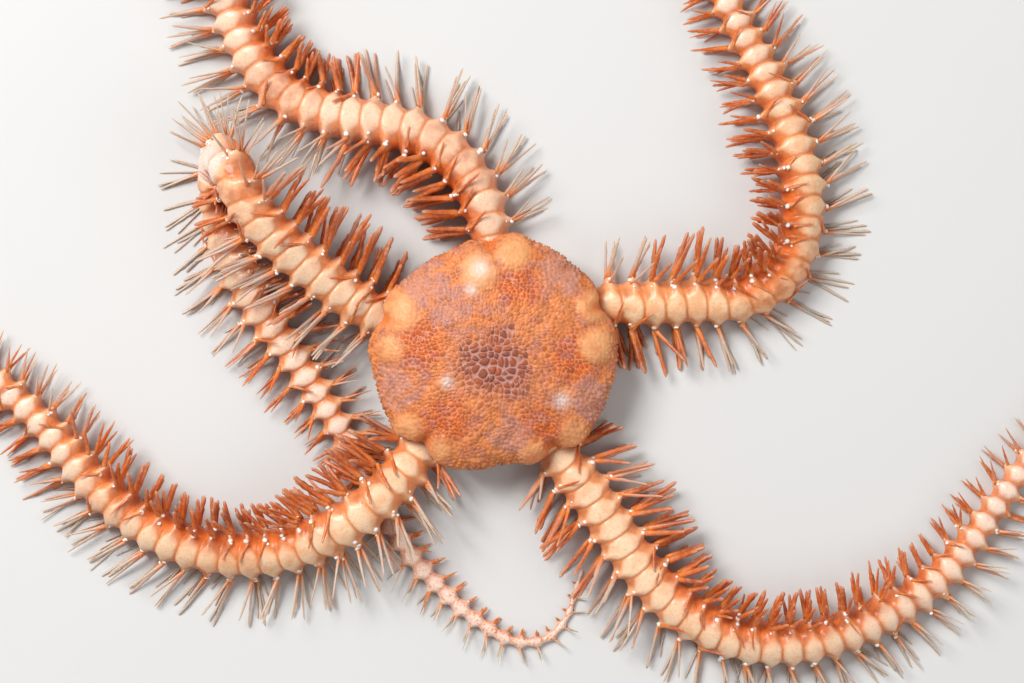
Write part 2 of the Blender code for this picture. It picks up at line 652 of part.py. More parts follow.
def place_whole(nodes):
    """Hangs every node on one empty, moved so that the box round them is centred over the origin."""
    bpy.context.view_layer.update()
    graph = bpy.context.evaluated_depsgraph_get()
    low = np.full(3, np.inf)
    high = np.full(3, -np.inf)
    for node in nodes:
        evaluated = node.evaluated_get(graph)
        mesh = evaluated.to_mesh()
        points = np.empty(len(mesh.vertices) * 3, np.float32)
        mesh.vertices.foreach_get("co", points)
        points = points.reshape(-1, 3) + np.array(node.location)
        evaluated.to_mesh_clear()
        low = np.minimum(low, points.min(0))
        high = np.maximum(high, points.max(0))
    root = bpy.data.objects.new("brittle_star", None)
    bpy.context.scene.collection.objects.link(root)
    root.location = (-(low[0] + high[0]) / 2, -(low[1] + high[1]) / 2, -low[2])
    for node in nodes:
        node.parent = root


def main():
    """Makes the disc, the jaws and the arms with their spines, and places the whole animal."""
    clear_scene()
    collection = bpy.data.collections.new("brittle star")
    bpy.context.scene.collection.children.link(collection)
    lines = {name: ArmLine(name) for name in ROUTES}
    disc = make_disc(lines, collection)
    disc.data.materials.append(make_material("disc skin", CORAL, 0.6))
    shade_round(disc)
    horn = make_material("jaw plates", CREAM, 0.5)
    jaws = make_jaws(lines, collection)
    for jaw in jaws:
        jaw.data.materials.append(horn)
    skin = make_material("arm plates and spines", AMBER, 0.55)
    spines = Spines(lines)
    lengths = []
    for line in lines.values():
        lengths.extend(make_arm(line, spines, collection))
    for length in lengths:
        length.data.materials.clear()
        length.data.materials.append(skin)
        shade_round(length)
    place_whole([disc, *jaws, *lengths])


main()
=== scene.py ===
"""Looks of the brittle star: its skin, plates, spines and mouth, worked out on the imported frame.

Sizes are in millimetres and angles in degrees until a mesh is made, which is in metres. Every piece is
worked out round the middle of the disc, which the frame's own disc gives a place.
"""

import math

import bpy
import numpy as np
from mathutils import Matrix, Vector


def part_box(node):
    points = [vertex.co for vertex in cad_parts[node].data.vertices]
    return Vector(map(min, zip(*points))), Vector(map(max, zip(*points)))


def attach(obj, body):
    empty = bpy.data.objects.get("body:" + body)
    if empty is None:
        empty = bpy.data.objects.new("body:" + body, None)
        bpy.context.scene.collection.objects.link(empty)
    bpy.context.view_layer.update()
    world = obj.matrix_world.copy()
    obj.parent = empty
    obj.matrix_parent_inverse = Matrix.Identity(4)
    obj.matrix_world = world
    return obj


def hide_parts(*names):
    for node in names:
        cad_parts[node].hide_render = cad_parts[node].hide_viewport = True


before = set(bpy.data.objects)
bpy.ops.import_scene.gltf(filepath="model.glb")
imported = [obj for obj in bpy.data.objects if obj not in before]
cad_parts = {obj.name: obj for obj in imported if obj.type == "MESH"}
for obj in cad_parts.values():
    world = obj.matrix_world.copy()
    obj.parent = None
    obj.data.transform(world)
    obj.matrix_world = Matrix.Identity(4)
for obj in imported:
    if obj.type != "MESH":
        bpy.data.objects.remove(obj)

bl_info = {
    "name": "Brittle star",
    "version": (1, 0, 0),
    "blender": (4, 5, 0),
    "location": "View3D > Sidebar > Brittle star",
    "description": "Dresses the brittle star's frame with plates, granules and spines",
    "category": "Object",
}

MM = 0.001
# The arms by where they leave the disc, and how pale each one's plates are, from 0 to 1.
ARM_NAMES = ("east", "south_east", "south_west", "west", "north")
PALENESS = {"east": 0.15, "south_east": 0.4, "south_west": 0.3, "west": 0.45, "north": 0.75}

# The disc's rim as (azimuth, radius), and its section from the roof of the mouth round to the crown,
# as (share of the radius, height).
DISC_RIM = (
    (0, 12.1), (22, 11.7), (46, 11.6), (68, 11.6), (90, 11.6), (108, 10.9), (127, 11.1), (150, 11.6),
    (176, 12.2), (195, 12.1), (212, 12.3), (231, 11.9), (256, 11.9), (274, 11.1), (300, 11.6), (322, 12.1),
    (341, 12.0),
)
DISC_SECTION = (
    (0.0, 4.1), (0.3, 4.1), (0.5, 4.08), (0.57, 3.85), (0.59, 3.2), (0.59, 1.6), (0.6, 1.0), (0.63, 0.82),
    (0.74, 1.0), (0.86, 1.9), (0.94, 3.1), (0.985, 4.2), (1.0, 4.9), (0.955, 5.6), (0.87, 6.3), (0.75, 6.9),
    (0.6, 7.4), (0.42, 7.8), (0.22, 8.0), (0.0, 8.1),
)
# The rows of the section where the roof of the mouth ends, and where the underside does.
ROOF_END = 4
UNDERSIDE_END = 9

# The arms: each route point is (x, y, lift off the floor, lean of the back along X, and along Y), and
# what a row leaves off is zero.
ROUTES = {
    "east": (
        (3.9, 1.6), (11.75, 4.85, 0.2, 0.0, -0.1), (14.6, 4.9, 0.1, 0.0, -0.3),
        (20.2, 5.2, 0.0, 0.1, -0.45), (25.0, 5.6, 0.0, 0.3, -0.6), (28.3, 7.3, 0.0, 0.6, -0.6),
        (30.2, 10.4, 0.0, 0.8, -0.3), (30.9, 14.7, 0.0, 0.6), (30.5, 18.7, 0.0, 0.4),
        (29.2, 23.2, 0.0, 0.15), (27.4, 27.6, 0.0, 0.1), (24.9, 32.3), (22.6, 36.4), (19.0, 41.2),
        (14.0, 44.6, 0.0, 0.1, 0.1), (8.0, 46.3, 0.0, 0.1, 0.1), (1.5, 46.2, 0.0, 0.0, 0.1), (-3.6, 43.8),
        (-6.6, 40.0), (-7.2, 36.4),
    ),
    "south_east": (
        (2.1, -3.65), (6.1, -10.1, 0.2), (8.5, -12.9, 0.1), (11.6, -17.3), (15.1, -22.2, 0.0, 0.0, -0.1),
        (19.6, -26.4, 0.0, -0.3, -0.5), (24.8, -28.8, 0.0, -0.1, -0.7), (30.5, -29.2, 0.0, 0.1, -0.6),
        (35.6, -28.0, 0.0, 0.2, -0.5), (40.6, -25.6, 0.0, 0.2, -0.3), (44.7, -22.7), (48.1, -18.8),
        (51.1, -14.7), (53.9, -10.8), (57.8, -6.2), (61.9, -1.6), (64.6, 4.2), (65.0, 10.4), (62.9, 15.6),
        (59.8, 18.6),
    ),
    "south_west": (
        (-2.6, -3.3), (-7.3, -9.3, 0.3), (-9.5, -12.4, 1.3), (-12.0, -14.9, 2.5, 0.0, -0.1),
        (-14.6, -16.9, 2.3, 0.1, -0.2), (-19.4, -19.3, 0.7, 0.0, -0.5), (-24.9, -20.3, 0.0, 0.0, -0.6),
        (-30.4, -19.6, 0.0, -0.1, -0.6), (-35.4, -17.2, 0.0, -0.3, -0.5),
        (-39.9, -13.5, 0.0, -0.4, -0.35), (-43.4, -9.5, 0.0, -0.3, -0.2), (-46.9, -5.8, 0.0, -0.2, -0.2),
        (-50.2, -3.0, 0.0, -0.1, -0.1), (-55.2, 0.8), (-60.4, 4.0), (-65.4, 8.4), (-67.9, 14.2),
        (-67.5, 20.4), (-64.6, 25.4), (-61.2, 27.8),
    ),
    "west": (
        (-4.1, 1.0), (-11.3, 3.4, 0.5), (-13.6, 4.8, 1.0), (-17.5, 7.8, 2.4, -0.15, -0.1),
        (-21.4, 11.2, 4.1, -0.3, -0.1), (-24.3, 14.7, 5.3, -0.6, -0.2), (-25.2, 16.5, 5.5, -1.0, -0.3),
        (-25.8, 17.9, 5.2, -1.6, -0.5), (-26.5, 18.8, 4.2, -2.2, -0.7), (-27.0, 19.1, 2.8, -2.6, -0.8),
        (-27.4, 18.7, 1.4, -2.5, -0.7), (-27.6, 17.6, 0.4, -2.4, -0.6), (-27.6, 16.1, 0.0, -2.1, -0.5),
        (-27.1, 12.7, 0.0, -1.2, -0.3), (-25.9, 9.0, 0.0, -0.6, -0.2), (-23.9, 4.8, 0.0, -0.2, -0.1),
        (-20.9, 0.5), (-17.4, -4.8), (-14.4, -9.8), (-11.6, -15.2), (-8.9, -19.9), (-5.5, -23.8),
        (-1.5, -27.3), (2.0, -29.2), (5.2, -29.0), (7.3, -26.8), (8.2, -24.0, 0.1), (8.9, -21.9, 0.2),
    ),
    "north": (
        (0.1, 4.3), (-0.4, 11.4, 0.2, 0.1), (-1.2, 14.7, 0.1, 0.1, 0.05), (-3.3, 18.6, 0.0, 0.15, 0.15),
        (-7.0, 21.5, 0.0, 0.15, 0.25), (-11.5, 22.9, 0.0, 0.1, 0.35), (-16.5, 23.9, 0.0, 0.0, 0.35),
        (-21.0, 25.9, 0.0, -0.1, 0.1), (-24.0, 29.3, 0.0, -0.3, -0.1), (-26.0, 33.2, 0.0, -0.4),
        (-27.5, 37.4, 0.0, -0.2), (-29.6, 42.6), (-33.0, 48.0), (-37.8, 52.4), (-43.8, 55.0),
        (-50.2, 55.2), (-55.8, 52.6), (-59.6, 47.8), (-60.4, 42.6), (-58.8, 38.8),
    ),
}
# How far along an arm's line the disc's rim lies, an arm's full half width, and its shares under the disc
# by that reach and beyond it by the share of the arm's length.
RIM_REACH = 7.6
HALF_WIDTH = 2.35
UNDER_DISC = ((0.0, 0.62), (7.6, 0.9), (11.0, 1.0))
TAPER = (
    (0.0, 1.0), (0.2, 1.0), (0.32, 0.97), (0.42, 0.86), (0.53, 0.66), (0.63, 0.52), (0.75, 0.41),
    (0.85, 0.29), (0.93, 0.16), (1.0, 0.06),
)
# An arm's half height, and how high its centre rests, as shares of its half width.
HEIGHT_SHARE = 0.9
REST_SHARE = 0.78
# The step between stations of an arm's line, how far its running average reaches, and the span over which
# a bend is felt.
STATION = 0.2
SMOOTH_SPAN = 1.2
CURL_SPAN = 12.0
# How strongly a bend marks its inner side, for a bend of one radian a millimetre.
CURL_FACTOR = 22.0
# The side of a spine's or knob's patch on the coat's UV map.
PATCH = 0.003
# The length of a joint by its place, where the first joint starts, and its shoulders' place in the joint.
JOINT_PITCH = ((0.0, 2.15), (0.2, 2.05), (0.6, 1.95), (0.85, 1.75), (1.0, 1.3))
FIRST_JOINT = 0.6
SHOULDER = 0.66

# Fans of spines: how many stand on one side of a joint, and their length, by the share of the arm's length.
FAN_COUNT = ((0.0, 6), (0.3, 6), (0.5, 5), (0.62, 4), (0.8, 3), (1.0, 2))
SPINE_TAPER = (
    (0.0, 0.84), (0.06, 0.96), (0.2, 1.0), (0.35, 0.94), (0.45, 0.84), (0.55, 0.66), (0.65, 0.48),
    (0.8, 0.33), (0.95, 0.18), (1.0, 0.12),
)
# The foot's angle from the middle of the back, the spine's own angle, its length and its lean, by its
# place in the fan.
FAN_FOOT = ((0.0, 58.0), (1.0, 126.0))
FAN_ANGLE = ((0.0, 46.0), (0.3, 72.0), (1.0, 132.0))
FAN_LENGTH = ((0.0, 0.84), (0.25, 0.98), (0.6, 1.0), (0.85, 0.8), (1.0, 0.62))
FAN_LEAN = ((0.0, 2.0), (0.25, 1.0), (1.0, 0.5))
# The knobs of one joint, left and right by turns: their angles from the middle of the back, and how
# likely each is near the disc.
KNOB_TURNS = (52.0, 52.0, 61.0, 61.0, 70.0, 70.0, 84.0, 84.0)
KNOB_CHANCES = (0.5, 0.5, 0.8, 0.8, 0.7, 0.7, 0.3, 0.3)

# Smooth swellings of the disc's upper face beside the arms, as (x, y, width, rise), and its patches of
# colour, as (x, y, width). The first pale patch is a painted highlight on the northern shield, the others
# pale skin.
SHIELDS = (
    (9.6, 4.4, 1.5, 0.5), (10.0, 0.6, 1.6, 0.5), (1.9, 9.6, 1.6, 0.4), (-1.5, 7.9, 1.7, 0.6),
    (-9.3, 3.9, 1.9, 0.5), (-10.2, 0.4, 1.4, 0.3), (-8.6, -7.7, 1.5, 0.35), (-5.6, -9.6, 1.4, 0.3),
    (7.8, -8.2, 1.5, 0.3), (3.8, -10.0, 1.4, 0.3),
)
PALE_AND_HIGHLIGHT_PATCHES = ((-1.4, 8.3, 0.9), (-4.7, -3.0, 0.6), (6.7, -4.8, 0.8), (-2.3, 6.2, 0.6))
ORANGE_PATCHES = ((-7.4, 0.8, 2.4), (8.0, -0.6, 2.4), (2.5, 6.8, 2.2), (4.5, -7.6, 2.2), (-4.8, -6.8, 2.2))
GREY_PATCHES = (
    (-7.6, 7.2, 2.2), (6.4, 8.0, 2.0), (-9.8, -3.6, 1.8), (9.6, -4.8, 1.8), (-4.0, 4.4, 1.8), (1.5, -8.6, 1.8)
)
# The middle of the disc's coarse brown granules, and the disc's mean radius.
CORE_PLACE = (0.1, -1.3)
DISC_REACH = 11.8

# The height over the floor at which the picture is as wide as the settings say.
SHARP_HEIGHT = 4.0


def table_value(table, at):
    """The value of a table of (place, value) pairs at a place, straight between its rows."""
    places, values = zip(*table)
    return np.interp(at, places, values)


def unit(vectors):
    """The same vectors at length one."""
    return vectors / np.maximum(np.linalg.norm(vectors, axis=-1, keepdims=True), 1e-9)


def ramp(low, high, value):
    """Zero below low, one above high and a smooth S between, also with low and high turned round."""
    t = np.clip((value - low) / (high - low), 0.0, 1.0)
    return t * t * (3 - 2 * t)


def bump(middle, width, value):
    """A bell of height one: e to the minus square of the distance from the middle over the width."""
    return np.exp(-(((value - middle) / width) ** 2))


def hermite(points, knots, at):
    """Cubic pieces through the points, with each knot's slope taken from its two neighbours."""
    slope = np.gradient(points, knots, axis=0)
    piece = np.clip(np.searchsorted(knots, at, side="right") - 1, 0, len(knots) - 2)
    span = (knots[piece + 1] - knots[piece])[:, None]
    t = (at - knots[piece])[:, None] / span
    return (
        (2 * t**3 - 3 * t**2 + 1) * points[piece]
        + (t**3 - 2 * t**2 + t) * span * slope[piece]
        + (3 * t**2 - 2 * t**3) * points[piece + 1]
        + (t**3 - t**2) * span * slope[piece + 1]
    )


def chord_length(points):
    """The length of the straight way through the points, up to each of them."""
    return np.r_[0.0, np.cumsum(np.linalg.norm(np.diff(points, axis=0), axis=1))]


def eased_curve(points):
    """Stations along a curve through the points: Hermite pieces over the chord, then a running average."""
    points = np.array(points, float)
    chord = chord_length(points[:, :3])
    curve = hermite(points, chord, np.arange(0.0, chord[-1], STATION))
    reach = int(SMOOTH_SPAN / STATION)
    padded = np.pad(curve, ((reach, reach), (0, 0)), mode="reflect", reflect_type="odd")
    kernel = np.hanning(2 * reach + 3)[1:-1]
    kernel /= kernel.sum()
    return np.column_stack([np.convolve(column, kernel, mode="valid") for column in padded.T])


def columns_at(table, reach, at):
    """Each column of a table of stations, read straight between the stations at any array of places."""
    return np.stack([np.interp(at, reach, column) for column in table.T], axis=-1)


class ArmLine:
    """An arm's centreline at close stations: its reach, centre, heading, back, side and half width."""

    def __init__(self, name):
        """Works out the named arm's stations and the starts of its joints."""
        curve = eased_curve([(point + (0.0, 0.0, 0.0))[:5] for point in ROUTES[name]])
        self.name = name
        self.reach = chord_length(curve[:, :3])
        self.length = self.reach[-1]
        share = self.share(self.reach)
        self.half = HALF_WIDTH * table_value(TAPER, share) * table_value(UNDER_DISC, self.reach)
        self.centre = curve[:, :3] + np.outer(REST_SHARE * self.half, (0, 0, 1))
        self.heading = unit(np.gradient(self.centre, self.reach, axis=0))
        back = np.column_stack([curve[:, 3:5], np.ones(len(curve))])
        along = (back * self.heading).sum(1, keepdims=True)
        self.back = unit(back - along * self.heading)
        self.side = np.cross(self.heading, self.back)
        turning = np.gradient(self.heading, self.reach, axis=0)
        self.bend = (turning * self.side).sum(1)
        window = np.hanning(int(CURL_SPAN / STATION))
        self.curl = np.convolve(self.bend, window / window.sum(), mode="same")
        starts = [FIRST_JOINT]
        while starts[-1] < self.length:
            starts.append(starts[-1] + float(table_value(JOINT_PITCH, self.share(starts[-1]))))
        self.joints = np.array(starts)

    def share(self, reach):
        """How far out of the disc a place is, from 0 at the rim to 1 at the tip."""
        return np.clip((reach - RIM_REACH) / (self.length - RIM_REACH), 0.0, 1.0)

    def at(self, reach):
        """The centre, heading, back, side, half width and bend at any array of places."""
        rows = [columns_at(t, self.reach, reach) for t in (self.centre, self.heading, self.back, self.side)]
        half = np.interp(reach, self.reach, self.half)
        bend = np.interp(reach, self.reach, self.bend)
        return rows[0], unit(rows[1]), unit(rows[2]), unit(rows[3]), half, bend

    def unrolled(self, reach, turn):
        """A place on the arm's skin as two numbers from 0 to 1: along the arm, and round it."""
        return np.stack([reach / self.length, 0.5 + turn / 360.0], -1)

    def phase(self, reach):
        """How far through its joint a place is, from 0 to 1, and the number of the joint."""
        joint = np.clip(np.searchsorted(self.joints, reach, side="right") - 1, 0, len(self.joints) - 2)
        start = self.joints[joint]
        return np.clip((reach - start) / (self.joints[joint + 1] - start), 0.0, 1.0), joint


def arm_relief(line, reach, turn):
    """How far the arm's skin stands out or in over its plain section, in millimetres, and its masks.

    Each joint is waisted at its ends and stands out in two narrow shoulders at two thirds of its length,
    which carry the spines. A raised fan-shaped plate lies on the back, its half angle growing to the
    shoulders and shrinking after them, with a flatter one below. Its outer edge is arched towards the tip
    by the cosine of the angle from the back, and its heart bulges. Further out the whole joint swells as
    a bead. A shallow groove runs round the arm where two joints meet. The masks mark the plates and their
    hearts, the seams, the joints, the shoulders and their tips, the inner side of a bend, the bend itself,
    the crown where an arm stands up, and how far out a place is.
    """
    rows = (line.half, line.bend, line.curl, np.abs(line.heading[:, 2]))
    half, bend, curl, steep = (np.interp(reach, line.reach, row) for row in rows)
    share = line.share(reach)
    size = half / HALF_WIDTH
    away = np.abs(turn)
    arch = 0.6 * (math.cos(math.radians(75.0)) - np.cos(np.radians(np.minimum(away, 75.0))))
    phase, joint = line.phase(reach + size * arch)
    shoulder = bump(SHOULDER, 0.17, phase) * bump(82.0, 30.0, away)
    beside = bump(90.0, 42.0, away)
    room = np.clip((1.0 - bend * np.sin(np.radians(turn)) * half * 1.3) * 2.2, 0.0, 1.0)
    fan = 26.0 + 22.0 * ramp(0.0, 0.6, phase) - 18.0 * ramp(0.66, 1.0, phase) + 10.0 * scatter(joint, 3.0)
    within = fan - np.abs(turn + 16.0 * (scatter(joint, 8.0) - 0.5))
    plate = ramp(0.0, 16.0, within) * ramp(-0.02, 0.12, phase) * ramp(1.0, 0.92, phase)
    heart = ramp(-4.0, 28.0, within) * ramp(-0.1, 0.24, phase) * ramp(1.04, 0.84, phase)
    below = ramp(0.0, 8.0, away - (180.0 - fan * 0.7)) * ramp(0.0, 0.12, phase) * ramp(1.0, 0.9, phase)
    seam = (bump(0.0, 0.06, phase) + bump(1.0, 0.06, phase)) * (0.45 + 0.55 * ramp(95.0, 40.0, away))
    bead = 0.12 * ramp(0.22, 0.45, share) * np.cos(2 * np.pi * (phase - 0.55))
    rise = (
        0.72 * shoulder * room
        - 0.3 * beside * (1.0 - bump(0.62, 0.3, phase)) * room
        + plate * (0.04 * (1.0 - 0.5 * (away / 50.0) ** 2) + 0.07 * ramp(0.1, 0.9, phase)) + 0.09 * heart
        + 0.05 * below
        - 0.06 * seam
        + bead * half / np.maximum(size, 0.05) * (0.35 + 0.65 * beside) * room
    )
    inner = np.clip(curl * CURL_FACTOR * np.sin(np.radians(turn)), 0.0, 1.0) * ramp(12.0, 55.0, away)
    inner = inner * ramp(0.6, 0.3, steep)
    far = ramp(0.15, 0.5, share)
    wide = 0.07 + 0.15 * far
    masks = {
        "plate": np.maximum(plate, 0.8 * below), "seam": np.clip(seam, 0, 1), "share": share,
        "joint": np.maximum(bump(0.0, wide, phase), bump(1.0, wide * 0.8, phase)) * (0.3 + 0.7 * far),
        "shoulder": np.clip(bump(0.62, 0.3, phase) * bump(70.0, 42.0, away), 0, 1), "inner": inner,
        "heart": heart, "tip": bump(SHOULDER, 0.11, phase) * bump(70.0, 15.0, away),
        "crown": ramp(0.3, 0.65, steep) * bump(0.0, 80.0, away),
        "bent": ramp(0.04, 0.1, np.abs(curl)) * ramp(0.6, 0.3, steep) * (0.6 + 0.4 * scatter(joint, 5.0)),
    }
    return rise * size * (0.3 + 0.7 * ramp(2.0, 6.0, reach)), masks


def arm_points(line, reach, turn):
    """Points of an arm's skin: the section's ellipse and relief, square to the heading, over the floor."""
    centre, _, back, side, half, _ = line.at(reach)
    rise, masks = arm_relief(line, reach, turn)
    radius = (half + rise)[..., None]
    angle = np.radians(turn)[..., None]
    points = centre + radius * (np.sin(angle) * side + HEIGHT_SHARE * np.cos(angle) * back)
    points[..., 2] = np.maximum(points[..., 2], 0.02)
    return points, masks


def ring_faces(count, rows, sides):
    """Corner numbers of the faces of many closed tubes: quads between rings, and triangles to two poles."""
    start = (np.arange(count) * rows * sides)[:, None, None]
    row = (np.arange(rows - 1) * sides)[None, :, None]
    side = np.arange(sides)[None, None, :]
    following = (side + 1) % sides
    here = start + row
    quads = np.stack([here + side, here + following, here + sides + following, here + sides + side], -1)
    first = np.arange(count)[:, None] * rows * sides
    edge = np.arange(sides)[None, :]
    beyond = (edge + 1) % sides
    poles = count * rows * sides + 2 * np.arange(count)[:, None]
    last = first + (rows - 1) * sides
    starts = np.stack([poles + 0 * edge, first + beyond, first + edge], -1)
    ends = np.stack([poles + 1 + 0 * edge, last + edge, last + beyond], -1)
    return quads.reshape(-1, 4), np.concatenate([starts.reshape(-1, 3), ends.reshape(-1, 3)])


def add_attribute(mesh, name, values):
    """One number for each vertex, which a material reads by name."""
    mesh.attributes.new(name, "FLOAT", "POINT").data.foreach_set("value", values.astype(np.float32))


def placed(name, data):
    """A new object in the scene, at the origin."""
    made = bpy.data.objects.new(name, data)
    bpy.context.scene.collection.objects.link(made)
    return made


def ring_mesh(name, rings, poles, masks, material, places=None):
    """A piece made of closed tubes.

    rings holds (tube, row, side) points in millimetres and poles the first and last point of each tube.
    masks holds numbers for each ring point, and places the map position of each for the coat's UV map.
    """
    count, rows, sides = rings.shape[:3]
    quads, triangles = ring_faces(count, rows, sides)
    points = np.concatenate([rings.reshape(-1, 3), poles.reshape(-1, 3)])
    mesh = bpy.data.meshes.new(name)
    mesh.vertices.add(len(points))
    mesh.vertices.foreach_set("co", ((points + ORIGIN) * MM).astype(np.float32).ravel())
    corners = np.concatenate([quads.ravel(), triangles.ravel()])
    mesh.loops.add(len(corners))
    mesh.loops.foreach_set("vertex_index", corners.astype(np.int32))
    starts = np.r_[np.arange(len(quads)) * 4, len(quads) * 4 + np.arange(len(triangles)) * 3]
    mesh.polygons.add(len(starts))
    mesh.polygons.foreach_set("loop_start", starts.astype(np.int32))
    mesh.update(calc_edges=True)
    mesh.polygons.foreach_set("use_smooth", np.ones(len(starts), bool))
    for word, values in masks.items():
        values = np.broadcast_to(values, (count, rows, sides))
        ends = np.stack([values[:, 0].mean(1), values[:, -1].mean(1)], -1)
        add_attribute(mesh, word, np.concatenate([values.ravel(), ends.ravel()]))
    if places is not None:
        ends = np.stack([places[:, 0].mean(1), places[:, -1].mean(1)], 1)
        flat = np.concatenate([places.reshape(-1, 2), ends.reshape(-1, 2)])
        mesh.uv_layers.new(name="OFBake").uv.foreach_set("vector", flat[corners].astype(np.float32).ravel())
    mesh.materials.append(material)
    return placed(name, mesh)


def scatter(x, y):
    """A number from 0 to 1 that looks random for each whole x and y: the fraction of a scaled sine."""
    return np.modf(np.abs(np.sin(x * 127.1 + y * 311.7 + 5.3) * 43758.5453))[0]


def cells(x, y, size):
    """Rounded cells over a plane: distance to the nearest seed, to the border, and the cell's own number.

    One seed stands in each square of the given size, moved off its middle by up to 0.4 of the square.
    """
    square_x, square_y = np.floor(x / size), np.floor(y / size)
    nearest = np.full(x.shape, 9.0)
    second = np.full(x.shape, 9.0)
    number = np.zeros(x.shape)
    for step_x in (-1, 0, 1):
        for step_y in (-1, 0, 1):
            seed_x, seed_y = square_x + step_x, square_y + step_y
            off_x = 0.5 + 0.8 * (scatter(seed_x, seed_y) - 0.5)
            off_y = 0.5 + 0.8 * (scatter(seed_y + 17, seed_x - 9) - 0.5)
            distance = np.hypot(x / size - seed_x - off_x, y / size - seed_y - off_y)
            closer = distance < nearest
            second = np.where(closer, nearest, np.minimum(second, distance))
            number = np.where(closer, scatter(seed_x + 31, seed_y + 57), number)
            nearest = np.minimum(nearest, distance)
    return nearest, second - nearest, number


def disc_radius(azimuth):
    """The disc's radius at an azimuth, eased between the rows of its rim."""
    angles = np.array([row[0] for row in DISC_RIM], float)
    radii = np.array([row[1] for row in DISC_RIM], float)
    angles = np.r_[angles - 360, angles, angles + 360]
    radii = np.tile(radii, 3)[:, None]
    azimuth = np.asarray(azimuth, float) % 360
    return hermite(radii, angles, azimuth.ravel())[:, 0].reshape(azimuth.shape)


def frame_origin():
    """The disc's middle in the frame: the middle of its box, less how far the rim's own box is off it."""
    low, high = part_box("disc")
    azimuth = np.arange(0.0, 360.0, 0.5)
    radius = disc_radius(azimuth)
    x, y = radius * np.cos(np.radians(azimuth)), radius * np.sin(np.radians(azimuth))
    off = np.array([(x.min() + x.max()) / 2, (y.min() + y.max()) / 2])
    middle = np.array([(low[0] + high[0]) / 2, (low[1] + high[1]) / 2]) / MM
    return np.r_[middle - off, 0.0]


ORIGIN = frame_origin()
LINES = {name: ArmLine(name) for name in ARM_NAMES}
ARM_AZIMUTHS = np.array(
    [math.degrees(math.atan2(*line.at(RIM_REACH)[0][1::-1])) % 360 for line in LINES.values()]
)


class Wire:
    """A number or colour on its way through a material, so that shader maths reads as a sum."""

    def __init__(self, finish, socket):
        """Keeps the material and the socket that the wire comes from."""
        self.finish = finish
        self.socket = socket

    def maths(self, operation, *values):
        """The outcome of one operation on numbers and wires."""
        return self.finish.node("Math", {"operation": operation}, dict(enumerate(values)))

    def __add__(self, other):
        """The sum with a number or wire."""
        return self.maths("ADD", self, other)

    def __sub__(self, other):
        """This less a number or wire."""
        return self.maths("SUBTRACT", self, other)

    def __rsub__(self, other):
        """A number less this."""
        return self.maths("SUBTRACT", other, self)

    def __mul__(self, other):
        """The product with a number or wire."""
        return self.maths("MULTIPLY", self, other)

    __radd__ = __add__
    __rmul__ = __mul__


class Finish:
    """A material under way: its nodes come from one method, and its shader's own sockets hold constants."""

    def __init__(self, name, **constants):
        """Starts a material of that name and sets its shader's constants."""
        self.material = bpy.data.materials.new(name)
        self.material.use_nodes = True
        self.tree = self.material.node_tree
        self.shader = self.tree.nodes["Principled BSDF"]
        for socket, value in constants.items():
            self.shader.inputs[socket.replace("_", " ")].default_value = value

    def node(self, kind, settings=None, sockets=None, output=0):
        """A node of a kind, with its settings first and then the values or links of its sockets."""
        made = self.tree.nodes.new("ShaderNode" + kind)
        for setting, value in (settings or {}).items():
            setattr(made, setting, value)
        for socket, value in (sockets or {}).items():
            if isinstance(value, Wire):
                self.tree.links.new(value.socket, made.inputs[socket])
            else:
                made.inputs[socket].default_value = value
        return Wire(self, made.outputs[output])

    def mask(self, name):
        """The piece's own number of that name."""
        return self.node("Attribute", {"attribute_name": name}, output="Fac")

    def noise(self, grain, detail=3.0, roughness=0.55):
        """Cloudy noise from 0 to 1 whose patches are about that many millimetres across."""
        place = self.node("TexCoord", output="Object")
        sockets = {"Vector": place, "Scale": 1.0 / (grain * MM), "Detail": detail, "Roughness": roughness}
        return self.node("TexNoise", sockets=sockets)

    def step(self, value, low, high):
        """A smooth rise from 0 at low to 1 at high."""
        sockets = {"Value": value, "From Min": low, "From Max": high}
        return self.node("MapRange", {"interpolation_type": "SMOOTHSTEP"}, sockets)

    def mix(self, share, first, second):
        """A colour between two colours, each a wire, a colour or the name of one of the animal's."""
        ends = [tint(getattr(settings(), end)) if isinstance(end, str) else end for end in (first, second)]
        return self.node("Mix", {"data_type": "RGBA"}, {0: share, 6: ends[0], 7: ends[1]}, output=2)

    def feed(self, **wires):
        """Links what changes over the surface to the shader."""
        for socket, wire in wires.items():
            self.tree.links.new(wire.socket, self.shader.inputs[socket.replace("_", " ")])
        return self.material

    def bumps(self, height, depth, strength=1.0):
        """A bump map of that depth in millimetres."""
        sockets = {"Height": height, "Distance": depth * MM, "Strength": strength}
        return self.node("Bump", sockets=sockets, output="Normal")


def tint(colour):
    """A colour with full cover."""
    return (*colour, 1.0)


